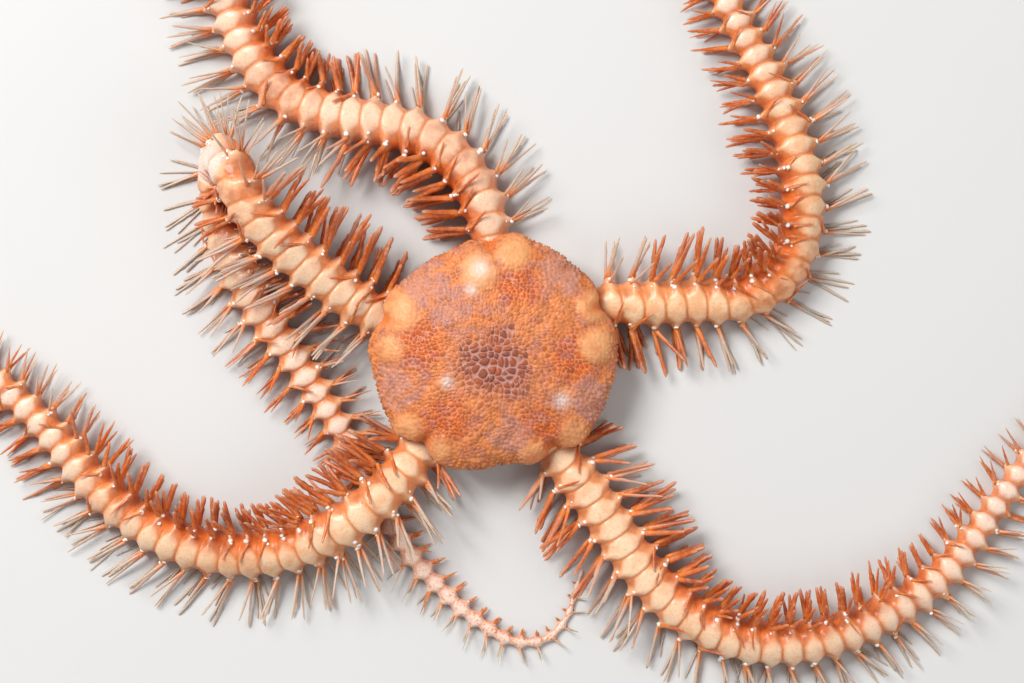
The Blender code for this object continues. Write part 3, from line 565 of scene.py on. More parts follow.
def arm_finish():
    """Cream plates in amber skin, oranger in a bend, chalky on a raised one, rosier towards the tip."""
    finish = Finish(
        "arm skin", Subsurface_Weight=0.3, Subsurface_Radius=(1.0, 0.4, 0.18), Subsurface_Scale=0.0014,
        Coat_Weight=0.3, Coat_Roughness=0.16, Specular_IOR_Level=0.25,
    )
    mix, step, mask = finish.mix, finish.step, finish.mask
    cloud = finish.noise(1.6)
    patch = finish.noise(4.5, 2.0)
    fleck = finish.noise(0.32, 2.0)
    warmth = step(patch + (cloud - 0.5) * 1.3 - mask("pale") * 0.14, 0.36, 0.68)
    cream = mix(warmth * 0.6, "plate_colour", "plate_shade")
    cream = mix(mask("pale") * 0.75, cream, "plate_pale")
    share = mask("share")
    cream = mix(step(share, 0.3, 0.6) * 0.7, cream, "tip_colour")
    amber = mix(step(cloud, 0.35, 0.7), "tissue_colour", "tissue_deep")
    flank = mix(step(cloud, 0.3, 0.7), "plate_tan", "plate_shade")
    flank = mix(mask("pale") * 0.55, flank, "plate_pale")
    shoulder = mask("shoulder") + (fleck - 0.5) * 0.4
    base = mix(step(shoulder, 0.0, 0.95) * 0.5 + 0.35, amber, flank)
    plate = mask("plate") + (fleck - 0.5) * 0.4 + (cloud - 0.5) * 0.6
    base = mix(step(plate, -0.1, 1.0) * 0.9, base, flank)
    bent = mask("bent")
    heart = mask("heart") * (1.0 - bent * 0.55) + (fleck - 0.5) * 0.4 + (cloud - 0.5) * 1.1
    base = mix(step(heart, 0.0, 1.05), base, cream)
    base = mix(bent * step(cloud, 0.3, 0.7) * 0.6, base, amber)
    base = mix(mask("inner") * 0.9, base, amber)
    base = mix(step(mask("crown"), 0.1, 0.8) * 0.75, base, "chalk_and_highlight_colour")
    base = mix(mask("tip") * 0.5, base, "plate_pale")
    base = mix(mask("joint") * step(cloud, 0.2, 0.55) * 0.7, base, amber)
    rosy = mix(step(fleck, 0.52, 0.68), "tip_colour", "tissue_colour")
    base = mix(step(share, 0.55, 0.9) * (0.8 - mask("inner") * 0.4), base, rosy)
    base = mix(mask("seam") * step(cloud, 0.3, 0.65) * 0.45, base, "plate_shade")
    speck = step(finish.noise(0.22, 1.0), 0.56, 0.72)
    base = mix(speck * 0.28, base, "tissue_colour")
    rough = 0.36 + fleck * 0.25
    return finish.feed(Base_Color=base, Roughness=rough, Normal=finish.bumps(fleck, 0.06))


def disc_finish():
    """Orange granules with paler lilac rims, browner and coarser in the middle, and smooth tan shields."""
    finish = Finish(
        "disc skin", Subsurface_Weight=0.2, Subsurface_Radius=(1.0, 0.45, 0.2), Subsurface_Scale=0.001,
        Coat_Weight=0.14, Coat_Roughness=0.25, Specular_IOR_Level=0.25,
    )
    mix, step, mask = finish.mix, finish.step, finish.mask
    cloud = finish.noise(1.4)
    fleck = finish.noise(0.28, 2.0)
    grey = step(mask("grey") + (cloud - 0.5) * 1.5, 0.05, 0.6)
    orange = step(mask("orange") + (cloud - 0.5) * 1.2, 0.0, 0.7)
    field = mix(orange, "disc_tan", "disc_orange")
    field = mix(step(mask("number"), 0.3, 1.0) * 0.45, field, "disc_deep")
    field = mix(grey * 0.65, field, "disc_lilac")
    mottle = finish.noise(0.9, 4.0, 0.7) + mask("middle") * 0.08
    field = mix(step(mottle, 0.43, 0.62) * 0.5, field, "disc_brown")
    core = step(mask("core") + (cloud - 0.5) * 1.2, 0.0, 0.9)
    brown = mix(mask("number") * 0.45, "disc_brown", "disc_orange")
    inside = mix(core, field, brown)
    rim = mix(step(cloud, 0.4, 0.65) * 0.7, "disc_tan", "disc_lilac")
    rim = mix(mask("middle") * 0.9, rim, "disc_lilac")
    grain = step(mask("grain") + (fleck - 0.5) * 0.4, 0.1, 0.75)
    base = mix(grain * 0.85 + 0.1, rim, inside)
    shield = mix(step(cloud, 0.4, 0.7) * 0.5, "shield_colour", "disc_orange")
    base = mix(step(mask("shield"), 0.0, 0.8) * 0.85, base, shield)
    # Pale chalky patches; the one on the northern shield is a painted highlight.
    base = mix(mask("pale") * 0.7, base, "chalk_and_highlight_colour")
    base = mix(mask("insertion") * 0.8, base, "tissue_colour")
    base = mix(mask("oral"), base, "oral_colour")
    base = mix(mask("pit"), base, "disc_brown")
    rough = 0.42 + fleck * 0.3
    return finish.feed(Base_Color=base, Roughness=rough, Normal=finish.bumps(fleck, 0.05))


def spine_finish():
    """Amber spines that deepen towards the middle and clear at the tip, greyer on an arm's outer side."""
    finish = Finish(
        "spines", Subsurface_Weight=0.5, Subsurface_Radius=(1.0, 0.4, 0.15), Subsurface_Scale=0.0009,
        Coat_Weight=0.3, Coat_Roughness=0.2, Specular_IOR_Level=0.25,
    )
    mix, step, mask = finish.mix, finish.step, finish.mask
    along = mask("along")
    cool = mask("cool")
    streak = finish.noise(0.4, 2.0)
    deep = mix(mask("shade") * 0.7, "spine_colour", "spine_dark")
    warm = mix(step(along, 0.0, 0.5), "spine_root", deep)
    grey = mix(step(along, 0.0, 0.45), "spine_root", "spine_grey")
    base = mix(step(cool, 0.2, 0.8), warm, grey)
    base = mix(step(along, 0.7, 1.0) * 0.4, base, "spine_tip")
    base = mix(step(streak, 0.42, 0.7) * 0.35, base, "spine_tip")
    return finish.feed(Base_Color=base, Roughness=0.32 + streak * 0.3, Normal=finish.bumps(streak, 0.08))


def knob_highlight_finish():
    """Glassy knobs painted white as highlights, faintly amber in patches."""
    finish = Finish(
        "joint knob highlights", Subsurface_Weight=0.3, Subsurface_Radius=(1.0, 0.7, 0.5), Subsurface_Scale=0.0006,
        Coat_Weight=0.6, Coat_Roughness=0.12,
    )
    mix, step = finish.mix, finish.step
    cloud = finish.noise(0.5)
    # The knobs' white is a painted highlight, amber here and there.
    base = mix(step(cloud, 0.45, 0.8), "knob_highlight_colour", "plate_shade")
    return finish.feed(Base_Color=base, Roughness=0.2 + cloud * 0.2, Normal=finish.bumps(cloud, 0.04))


def jaw_finish():
    """Pale, finely grained plates round the mouth."""
    finish = Finish(
        "jaw plates", Subsurface_Weight=0.2, Subsurface_Radius=(1.0, 0.6, 0.35), Subsurface_Scale=0.001,
        Coat_Weight=0.2, Coat_Roughness=0.3,
    )
    mix, step = finish.mix, finish.step
    cloud = finish.noise(0.9)
    fleck = finish.noise(0.25, 2.0)
    base = mix(step(cloud, 0.4, 0.65), "plate_colour", "plate_shade")
    base = mix(step(fleck, 0.55, 0.75) * 0.6, base, "tissue_colour")
    return finish.feed(Base_Color=base, Roughness=0.4 + fleck * 0.3, Normal=finish.bumps(fleck, 0.06))


def colour(name, words, default):
    """A colour that a user can change."""
    return bpy.props.FloatVectorProperty(
        name=name, description=words, subtype="COLOR", size=3, min=0.0, max=1.0, default=default
    )


def length(name, words, default, low=0.0, high=20.0):
    """A length that a user can change, given in millimetres and kept in metres."""
    return bpy.props.FloatProperty(
        name=name, description=words, subtype="DISTANCE", unit="LENGTH", precision=5,
        default=default * MM, min=low * MM, max=high * MM,
    )


def in_mm(setting):
    """A length setting in millimetres, without the last digits that its storage adds."""
    return round(setting / MM, 6)


def power(name, words, default):
    """A light's power in watts that a user can change."""
    return bpy.props.FloatProperty(
        name=name, description=words, unit="POWER", default=default, min=0.0, max=100.0
    )


class StarSettings(bpy.types.PropertyGroup):
    """Sizes and colours of the animal."""

    spine_length: length("Spine length", "Length of the longest arm spines", 5.3)
    spine_width: length("Spine width", "Width of the longest spines at their foot", 0.56)
    spine_lean: bpy.props.FloatProperty(
        name="Spine lean", description="How far the spines lean towards the tip of the arm",
        subtype="ANGLE", unit="ROTATION", default=math.radians(16.0), min=0.0, max=math.radians(60.0),
    )
    granule: length("Granule", "Width of the disc's granules", 0.42)
    core_granule: length("Middle granule", "Width of the granules in the middle of the disc", 0.76)
    granule_rise: length("Granule height", "Height of the disc's granules", 0.14)
    shield_rise: bpy.props.FloatProperty(
        name="Shield height", description="Height of the radial shields, as a share of the usual",
        subtype="FACTOR", default=1.0, min=0.0, max=3.0,
    )
    knob: length("Knob", "Width of the knobs at the feet of the spines", 0.56)
    plate_colour: colour("Plates", "Colour of the plates on the arms' backs", (0.8, 0.55, 0.33))
    plate_shade: colour("Plate shade", "Second colour of the arm plates", (0.76, 0.29, 0.08))
    plate_pale: colour("Pale plates", "Colour of the plates of the palest arms", (0.77, 0.56, 0.44))
    tissue_colour: colour("Skin", "Colour of the skin between the plates", (0.68, 0.14, 0.016))
    tissue_deep: colour("Deep skin", "Colour of the skin in the joints", (0.36, 0.055, 0.008))
    plate_tan: colour("Plate rims", "Colour of the plates' rims and the joints' flanks", (0.82, 0.45, 0.21))
    tip_colour: colour("Arm tips", "Colour of the outer stretch of the arms", (0.8, 0.62, 0.52))
    disc_orange: colour("Disc orange", "Main colour of the disc", (0.55, 0.09, 0.008))
    disc_tan: colour("Disc tan", "Paler colour of the disc", (0.68, 0.225, 0.07))
    disc_lilac: colour("Disc lilac", "Lilac grey between the granules", (0.44, 0.24, 0.215))
    disc_deep: colour("Disc deep", "Deep orange of some granules", (0.3, 0.04, 0.006))
    disc_brown: colour("Disc brown", "Brown of the granules in the middle", (0.21, 0.055, 0.024))
    shield_colour: colour("Shields", "Colour of the smooth radial shields", (0.74, 0.36, 0.15))
    # Chalky colour, which also paints the highlight on the disc's northern shield.
    chalk_and_highlight_colour: colour("Chalky patches", "Colour of the palest patches", (0.72, 0.62, 0.56))
    oral_colour: colour("Underside", "Colour of the underside", (0.6, 0.34, 0.18))
    spine_root: colour("Spine foot", "Colour of the spines at their foot", (0.74, 0.2, 0.03))
    spine_colour: colour("Spine", "Colour of the spines", (0.6, 0.13, 0.016))
    spine_dark: colour("Dark spine", "Colour of the darker spines", (0.3, 0.055, 0.008))
    spine_grey: colour("Grey spine", "Colour of the spines on the outer sides", (0.5, 0.38, 0.31))
    spine_tip: colour("Spine tip", "Colour of the spines' tips", (0.56, 0.38, 0.28))
    # White of the knobs: a painted highlight on small real bumps at the spines' feet.
    knob_highlight_colour: colour("Knobs", "Colour of the knobs", (0.9, 0.86, 0.82))


class StageSettings(bpy.types.PropertyGroup):
    """The floor, the lights and the camera."""

    floor_colour: colour("Floor", "Colour of the floor", (0.6, 0.59, 0.575))
    key_power: power("Key light", "Power of the soft main light", 2.9)
    fill_power: power("Fill light", "Power of the light from the other side", 0.5)
    camera_height: length("Camera height", "Height of the camera over the floor", 350.0, 50, 2000)
    view_width: length("View width", "Width of the picture at the disc", 102.4, 10, 500)
    view_x: length("View across", "How far right of the disc's middle the picture's is", 1.75, -50, 50)
    view_y: length("View up", "How far above the disc's middle the picture's is", 1.05, -50, 50)


def settings():
    """The animal's sizes and colours."""
    return bpy.context.scene.brittle_star


def finish_for(name, maker):
    """A material made once and shared by like pieces."""
    made = bpy.data.materials.get(name)
    return made or maker()


def settle(piece, slot, *nodes):
    """Fixes a piece to the one body of the frame and hides the nodes it stands for; the slot is not used."""
    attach(piece, "root")
    if nodes:
        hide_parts(*nodes)
    return piece


def arm_nodes(name):
    """The frame's nodes that make up one arm."""
    return [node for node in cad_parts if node.rsplit("_", 1)[0] == "arm_" + name]


class STAR_OT_arms(bpy.types.Operator):
    """Lays one unbroken skin over each arm, with its plates, shoulders and joints"""

    bl_idname = "star.arms"
    bl_label = "Arms"
    rows_to_a_joint = 20
    sides = 60

    def execute(self, context):
        """Makes one closed skin for each arm."""
        material = finish_for("arm skin", arm_finish)
        for line in LINES.values():
            joints = line.joints
            steps = np.arange(self.rows_to_a_joint) / self.rows_to_a_joint
            reach = (joints[:-1, None] + np.diff(joints)[:, None] * steps).ravel()
            reach = np.r_[0.0, 0.3, reach[reach < line.length - 0.02], line.length]
            turn = np.linspace(-180.0, 180.0, self.sides, endpoint=False)
            grid_reach, grid_turn = np.meshgrid(reach, turn, indexing="ij")
            points, masks = arm_points(line, grid_reach, grid_turn)
            masks["pale"] = np.full(grid_reach.shape, PALENESS[line.name])
            ends = line.at(np.array([0.0, line.length]))[0]
            ends[1] += 0.1 * line.heading[-1]
            masks = {word: values[None] for word, values in masks.items()}
            skin = ring_mesh(f"arm_{line.name}_skin", points[None], ends[None], masks, material)
            settle(skin, "arm_plates", *arm_nodes(line.name))
        return {"FINISHED"}


def disc_surface(rows, sides):
    """The disc's plain surface: its section swept round, each height at its share of the rim's radius.

    About a fifth of the rows lies on the roof of the mouth and the underside, and the rest from the rim up.
    """
    section = np.array(DISC_SECTION) * np.array([DISC_REACH, 1.0])
    run = chord_length(section)
    parts = np.linspace(0.0, 1.0, rows + 2)[1:-1]
    along = np.interp(parts, (0.0, 0.06, 0.22, 1.0), (0.0, run[ROOF_END], run[UNDERSIDE_END], run[-1]))
    place = hermite(section, run, along)
    azimuth = np.linspace(0.0, 360.0, sides, endpoint=False)
    radius = np.maximum(place[:, 0], 0.02)[:, None] / DISC_REACH * disc_radius(azimuth)[None]
    angle = np.radians(azimuth)[None]
    height = np.broadcast_to(place[:, 1][:, None], radius.shape)
    points = np.stack([radius * np.cos(angle), radius * np.sin(angle), height], -1)
    share = place[:, 0][:, None] / DISC_REACH + 0 * radius
    from_crown = (run[-1] - along)[:, None] + 0 * radius
    return points, np.broadcast_to(azimuth, radius.shape), share, from_crown


def outward(points):
    """The normals of a swept surface: its step round crossed with its step along."""
    around = np.roll(points, -1, axis=1) - np.roll(points, 1, axis=1)
    return unit(np.cross(around, np.gradient(points, axis=0)))


def off_axis(azimuth):
    """The signed angle from the nearest arm."""
    apart = (azimuth[..., None] - ARM_AZIMUTHS + 180.0) % 360.0 - 180.0
    nearest = np.abs(apart).argmin(-1)
    return np.take_along_axis(apart, nearest[..., None], -1)[..., 0]


def granules(x, y, fine, coarse):
    """Cells of three sizes, coarse in the middle of the core and fine from 5 mm off it, each with a weight.

    The weights are smooth steps of the distance from the core's middle and add up to one. The cells'
    border, dome and number are the weighted sums, each dome as high as its cell is wide.
    """
    far = np.hypot(x - CORE_PLACE[0], y - CORE_PLACE[1])
    outer, inner = ramp(3.6, 5.0, far), ramp(1.9, 3.0, far)
    weights = (1.0 - inner, inner - outer, outer)
    sizes = (coarse, (2 * fine + coarse) / 3, fine)
    edge, dome, number = 0.0, 0.0, 0.0
    for weight, wide in zip(weights, sizes):
        near, border, own = cells(x + wide, y - wide, wide)
        edge = edge + weight * ramp(0.0, 0.4, border) * ramp(0.82, 0.5, near)
        dome = dome + weight * (wide / fine) ** 0.8 * (1 - near**2 * 1.5)
        number = number + weight * own
    return edge, dome, number, far


def spots(points, places):
    """A mask of soft round spots, each (x, y, width), over the surface."""
    apart = [np.hypot(points[..., 0] - x, points[..., 1] - y) / wide for x, y, wide in places]
    return np.clip(sum(bump(0.0, 1.0, far) for far in apart), 0.0, 1.0)


class STAR_OT_disc(bpy.types.Operator):
    """Covers the disc with granules, radial shields and a toothed rim, and closes its underside"""

    bl_idname = "star.disc"
    bl_label = "Disc"
    rows = 184
    sides = 540

    def execute(self, context):
        """Makes the disc's closed skin: the swept surface, lifted along its normals by its relief."""
        star = settings()
        points, azimuth, share, run = disc_surface(self.rows, self.sides)
        above = ramp(4.2, 5.4, points[..., 2])
        angle = np.radians(azimuth)
        map_x, map_y = run * np.cos(angle), run * np.sin(angle)
        sway_x = 0.16 * np.sin(map_x * 1.9 + 1.5 * np.sin(map_y * 1.3))
        sway_y = 0.16 * np.sin(map_y * 2.1 - map_x * 0.7)
        grain, dome, number, far = granules(
            map_x + sway_x, map_y + sway_y, in_mm(star.granule), in_mm(star.core_granule)
        )
        core = ramp(5.4, 1.4, far + 0.5 * np.sin(3 * angle + 1.0)) * above
        off = np.abs(off_axis(azimuth))
        oral = ramp(3.4, 2.0, points[..., 2]) * ramp(0.57, 0.61, share)
        shield = np.zeros(share.shape)
        for x, y, wide, rise in SHIELDS:
            apart = np.hypot(points[..., 0] - x, points[..., 1] - y)
            shield = np.maximum(shield, rise * ramp(wide * 1.5, wide * 0.35, apart))
        shield = shield * above
        smooth = np.clip(shield * 2.0, 0, 1)
        cleft = bump(0.0, 3.2, off) * ramp(0.82, 1.0, share)
        rough = in_mm(star.granule_rise) * dome * grain * (1 - 0.62 * smooth) * (1 - 0.7 * oral)
        teeth = ramp(0.9, 1.0, share) * (1 - oral) * ramp(13.0, 19.0, off) * ramp(0.7, 0.95, dome)
        folds = 0.07 * np.sin(map_x * 2.3 + 2.2 * np.sin(map_y * 1.1)) * above * (1 - core) * (1 - smooth)
        lobes = (0.3 * bump(13.0, 5.5, off) - 0.45 * bump(0.0, 4.0, off)) * ramp(0.82, 1.0, share)
        slits = 0.4 * bump(19.0, 2.2, off) * bump(0.8, 0.12, share) * oral
        lift = rough + 0.14 * teeth + folds + star.shield_rise * shield - slits - 0.25 * cleft * above
        points = points + outward(points) * lift[..., None]
        points[..., :2] *= (1 + lobes / DISC_REACH)[..., None]
        pit = ramp(0.6, 0.56, share) * ramp(4.6, 4.2, points[..., 2])
        masks = {
            "grain": grain, "number": number, "core": np.clip(core * 1.5 - 0.7 * number, 0, 1),
            "shield": smooth, "oral": oral, "pit": np.clip(pit + slits * 2, 0, 1),
            # The pale patches are chalky skin, and the one on the northern shield is a painted highlight.
            "middle": core, "insertion": cleft * above, "pale": spots(points, PALE_AND_HIGHLIGHT_PATCHES) * above,
            "orange": spots(points, ORANGE_PATCHES), "grey": spots(points, GREY_PATCHES),
        }
        masks = {word: values[None] for word, values in masks.items()}
        poles = np.array([[[0, 0, DISC_SECTION[0][1]], [0, 0, points[-1, :, 2].mean()]]])
        material = finish_for("disc skin", disc_finish)
        settle(ring_mesh("disc_skin", points[None], poles, masks, material), "disc_skin", "disc")
        return {"FINISHED"}


def spine_seats(line, star, chance):
    """Each spine of an arm as a row: its reach, hand, place in its fan, length and how far inside a bend."""
    seats = []
    longest = in_mm(star.spine_length)
    for start, long in zip(line.joints[:-1], np.diff(line.joints)):
        reach = start + 0.67 * long
        share = float(line.share(reach))
        if reach < RIM_REACH - 1.2 or reach > line.length - 0.3:
            continue
        curl = float(np.interp(reach, line.reach, line.curl))
        for hand in (-1, 1):
            inside = float(np.clip(hand * curl * CURL_FACTOR, -1.0, 1.0))
            steep = float(ramp(0.2, 0.5, abs(np.interp(reach, line.reach, line.heading[:, 2]))))
            count = int(round(float(table_value(FAN_COUNT, share)) + 4 * steep)) + (inside > 0.6)
            fan = (np.arange(count) + 0.5) / count
            length = longest * table_value(SPINE_TAPER, share) * table_value(FAN_LENGTH, fan)
            length *= 1.0 - 0.36 * max(inside, 0.0) * float(ramp(0.04, 0.2, share))
            length *= 1.0 + 0.7 * max(-inside, 0.0) * float(ramp(0.5, 0.7, share))
            seats.append(np.column_stack([
                reach + chance.uniform(-0.1, 0.1, count) * long, np.full(count, hand), fan,
                length * chance.uniform(0.84, 1.07, count), np.full(count, inside),
                np.full(count, chance.uniform(-1.0, 1.0)), np.full(count, steep),
            ]))
    return np.concatenate(seats)


def spine_paths(line, star, chance):
    """The foot, direction, length and frame of each spine, kept off the floor, the disc and the arms."""
    reach, hand, fan, length, inside, sway, steep = spine_seats(line, star, chance).T
    count = len(reach)
    likely = 0.14 + 0.5 * np.clip(inside * 1.5, 0.0, 1.0)
    laid = (fan < 0.18) & (line.share(reach) < 0.6) & (chance.random(count) < likely)
    _, heading, back, side, _, _ = line.at(reach)
    turn = table_value(FAN_FOOT, fan) + chance.uniform(-4, 4, count) - 8.0 * laid
    foot, _ = arm_points(line, reach, hand * turn)
    foot = foot + 0.12 * (laid[:, None] * back)
    angle = np.radians(table_value(FAN_ANGLE, fan) + chance.uniform(-8, 8, count))[:, None]
    out = np.cos(angle) * back + hand[:, None] * np.sin(angle) * side
    lean = math.degrees(star.spine_lean) * table_value(FAN_LEAN, fan)
    lean = np.radians(lean + 9.0 * sway + chance.normal(0, 5, count))[:, None]
    direction = unit(out * np.cos(lean) + heading * np.sin(lean))
    across = -hand[:, None] * side * 0.7 + back * 0.5 + heading * chance.uniform(0.1, 1.1, (count, 1))
    direction = np.where(laid[:, None], unit(across), direction)
    length = np.where(laid, length * 0.76, length)
    cool = np.clip(0.3 - 0.75 * inside + 0.7 * steep + chance.normal(0, 0.15, count), 0, 1) * ~laid
    direction, length = keep_clear(line, reach, foot, direction, length)
    keep = length > 0.22 * in_mm(star.spine_length) * table_value(SPINE_TAPER, line.share(reach))
    return {
        "foot": foot[keep], "direction": direction[keep], "length": length[keep], "back": back[keep],
        "cool": cool[keep], "turn": (hand * turn)[keep], "reach": reach[keep],
        "share": line.share(reach)[keep], "inside": np.where(laid, -0.6, inside)[keep],
    }


def keep_clear(line, reach, foot, direction, length):
    """Turns spines up off the floor and off the other arms, and shortens those that still run into one."""
    obstacles, widths, owners, places = (np.concatenate(rows) for rows in zip(*[
        (other.centre[::4], 1.05 * other.half[::4], 0.0 * other.half[::4] + (other is line), other.reach[::4])
        for other in LINES.values()
    ]))
    ignored = (owners[None] > 0.5) & (np.abs(places[None] - reach[:, None]) < 6.0)
    sample = np.linspace(0.35, 1.0, 7)
    clearance = 0.25
    for attempt in range(12):
        low = np.minimum((0.12 - foot[:, 2]) / np.maximum(length, 0.01), 0.9)
        flat = unit(direction[:, :2]) * np.sqrt(np.maximum(1 - low**2, 0.0))[:, None]
        sunk = direction[:, 2] < low
        direction = np.where(sunk[:, None], np.column_stack([flat, low]), direction)
        points = foot[:, None] + direction[:, None] * (length[:, None] * sample)[..., None]
        apart = np.linalg.norm(points[:, :, None] - obstacles[None, None], axis=3)
        struck = ((apart < (widths + clearance)[None, None]) & ~ignored[:, None]).any((1, 2))
        azimuth = np.degrees(np.arctan2(points[..., 1], points[..., 0]))
        inside = np.hypot(points[..., 0], points[..., 1]) < disc_radius(azimuth) + clearance
        struck |= (inside & (points[..., 2] > 1.2)).any(1)
        if not struck.any():
            break
        if attempt % 3 == 0:
            raised = unit(direction + np.array([0.0, 0.0, 0.3]))
            direction = np.where(struck[:, None], raised, direction)
        else:
            length = np.where(struck, length * 0.82, length)
    return direction, length


class STAR_OT_spines(bpy.types.Operator):
    """Sets fans of flattened, thorny spines on both sides of every joint"""

    bl_idname = "star.spines"
    bl_label = "Spines"
    rows = 12
    sides = 6

    def execute(self, context):
        """Makes one coat of spines for each arm."""
        star = settings()
        material = finish_for("spines", spine_finish)
        for number, line in enumerate(LINES.values()):
            chance = np.random.default_rng(100 + number)
            paths = spine_paths(line, star, chance)
            rings, poles, masks = self.spine_rings(paths, star, chance)
            places = patches(line.unrolled(paths["reach"], paths["turn"]), self.rows, self.sides)
            piece = ring_mesh(f"spines_{line.name}", rings, poles, masks, material, places)
            settle(piece, "arm_plates")
        return {"FINISHED"}

    def spine_rings(self, paths, star, chance):
        """Each spine: a flat oval carried from a sunk foot to a narrow tip, bent a little, with small thorns.

        The half width falls by a power of the way along, further for spines near the arm's tip, and each
        ring grows or shrinks by chance. Some edge points are pushed out and forward as thorns.
        """
        count = len(paths["length"])
        along = np.r_[np.linspace(0.0, 0.93, self.rows - 2), 0.975, 1.0][None, :]
        length = paths["length"][:, None]
        scale = (paths["length"] / in_mm(star.spine_length)) ** 0.55
        stout = 1.0 + 0.3 * np.clip(paths["inside"], -1.0, 1.0)
        width = in_mm(star.spine_width) / 2 * scale * chance.uniform(0.85, 1.15, count) * stout
        fall = (0.38 + 0.35 * ramp(0.25, 0.6, paths["share"]) + 0.15 * paths["cool"])[:, None]
        wide = width[:, None] * (1.0 - fall * along**1.3)
        wide = wide * (1 + chance.uniform(-0.07, 0.07, (count, self.rows)))
        wide = wide * np.interp(along, (0.0, 0.93, 0.975, 1.0), (1.0, 1.0, 0.8, 0.42))
        thick = wide * 0.66
        direction = paths["direction"]
        flat = unit(np.cross(direction, paths["back"] + chance.normal(0, 0.35, (count, 3))))
        upper = np.cross(flat, direction)
        curl = chance.normal(0, 0.035, (count, 2)) * length
        bend = curl[:, :1] * flat + curl[:, 1:] * upper
        centre = (
            paths["foot"][:, None]
            + direction[:, None] * (length * along - 0.25 * scale[:, None])[..., None]
            + bend[:, None] * (along**2)[..., None]
        )
        centre[..., 2] = np.maximum(centre[..., 2], 0.1)
        turn = np.radians(np.arange(self.sides) * 360.0 / self.sides)
        thorn = (chance.random((count, self.rows, self.sides)) < 0.25) * (np.abs(np.cos(turn)) > 0.9)
        thorn = thorn * ((along > 0.15) & (along < 0.95))[..., None] * chance.uniform(0.2, 1.0, (count, 1, 1))
        rings = (
            centre[:, :, None]
            + (wide[..., None] * np.cos(turn) * (1 + 0.4 * thorn))[..., None] * flat[:, None, None]
            + (thick[..., None] * np.sin(turn))[..., None] * upper[:, None, None]
            + (thorn * wide[..., None] * 0.6)[..., None] * direction[:, None, None]
        )
        rings[..., 2] = np.maximum(rings[..., 2], 0.03)
        poles = np.stack([centre[:, 0] - 0.02 * direction, centre[:, -1] + 0.06 * direction], 1)
        whole = np.ones((count, self.rows, self.sides))
        masks = {
            "along": along[..., None] * whole, "cool": paths["cool"][:, None, None] * whole,
            "shade": chance.random((count, 1, 1)) * whole,
        }
        return rings, poles, masks


def patches(feet, rows, sides):
    """A small patch of a coat's UV map for each piece, at the place of its foot on the skin unrolled."""
    across, up = np.meshgrid(np.arange(sides) / sides, np.linspace(0, 1, rows))
    return (0.02 + 0.96 * feet)[:, None, None] + PATCH * np.stack([across, up], -1)[None]


def small_domes(name, centre, normal, radius, height, material, slot, feet=None, rows=5, sides=8):
    """Many small rounded knobs: rings of a half-sunk ellipsoid about each centre, along its normal."""
    flat = unit(np.cross(normal, np.array([0.31, 0.22, 0.93])))
    upper = np.cross(flat, normal)
    rise = np.radians(np.linspace(-60.0, 75.0, rows))
    turn = np.radians(np.arange(sides) * 360.0 / sides)
    out = np.cos(rise)[None, :, None] * radius[:, None, None]
    rings = (
        centre[:, None, None]
        + (out * np.cos(turn))[..., None] * flat[:, None, None]
        + (out * np.sin(turn))[..., None] * upper[:, None, None]
        + (np.sin(rise)[None, :, None] * height[:, None, None] + 0 * turn)[..., None] * normal[:, None, None]
    )
    poles = np.stack([centre - height[:, None] * normal, centre + height[:, None] * normal], 1)
    places = None if feet is None else patches(feet, rows, sides)
    return settle(ring_mesh(name, rings, poles, {}, material, places), slot)


class STAR_OT_knobs(bpy.types.Operator):
    """Sets knobs, painted white as highlights, where the upper spines meet the shoulders of the joints"""

    bl_idname = "star.knobs"
    bl_label = "Knobs"

    def execute(self, context):
        """Makes one coat of knobs for each arm, fewer and smaller towards the tip."""
        star = settings()
        material = finish_for("joint knob highlights", knob_highlight_finish)
        for number, line in enumerate(LINES.values()):
            chance = np.random.default_rng(300 + number)
            joints = line.joints[:-1]
            reach = np.repeat(joints + SHOULDER * np.diff(line.joints), len(KNOB_TURNS))
            reach = reach + chance.uniform(-0.2, 0.2, len(reach))
            hand = np.tile([-1, 1], len(reach) // 2)
            turn = np.tile(KNOB_TURNS, len(joints)) + chance.uniform(-5, 5, len(reach))
            share = line.share(reach)
            likely = np.tile(KNOB_CHANCES, len(joints)) * ramp(0.85, 0.2, share)
            chosen = chance.random(len(reach)) < likely
            chosen &= (reach > RIM_REACH + 0.5) & (share < 0.9)
            reach, hand, turn, share = (row[chosen] for row in (reach, hand, turn, share))
            _, _, back, side, half, _ = line.at(reach)
            place, _ = arm_points(line, reach, hand * turn)
            feet = line.unrolled(reach, hand * turn)
            angle = np.radians(turn)[:, None]
            place[:, 2] = np.maximum(place[:, 2], in_mm(star.knob))
            normal = unit(np.cos(angle) * back + hand[:, None] * np.sin(angle) * side)
            radius = in_mm(star.knob) / 2 * (0.35 + 0.65 * half / HALF_WIDTH)
            radius = radius * chance.uniform(0.4, 1.1, len(reach))
            height = radius * chance.uniform(0.35, 0.9, len(reach))
            small_domes(f"knobs_{line.name}", place, normal, radius, height, material, "arm_plates", feet)
        return {"FINISHED"}


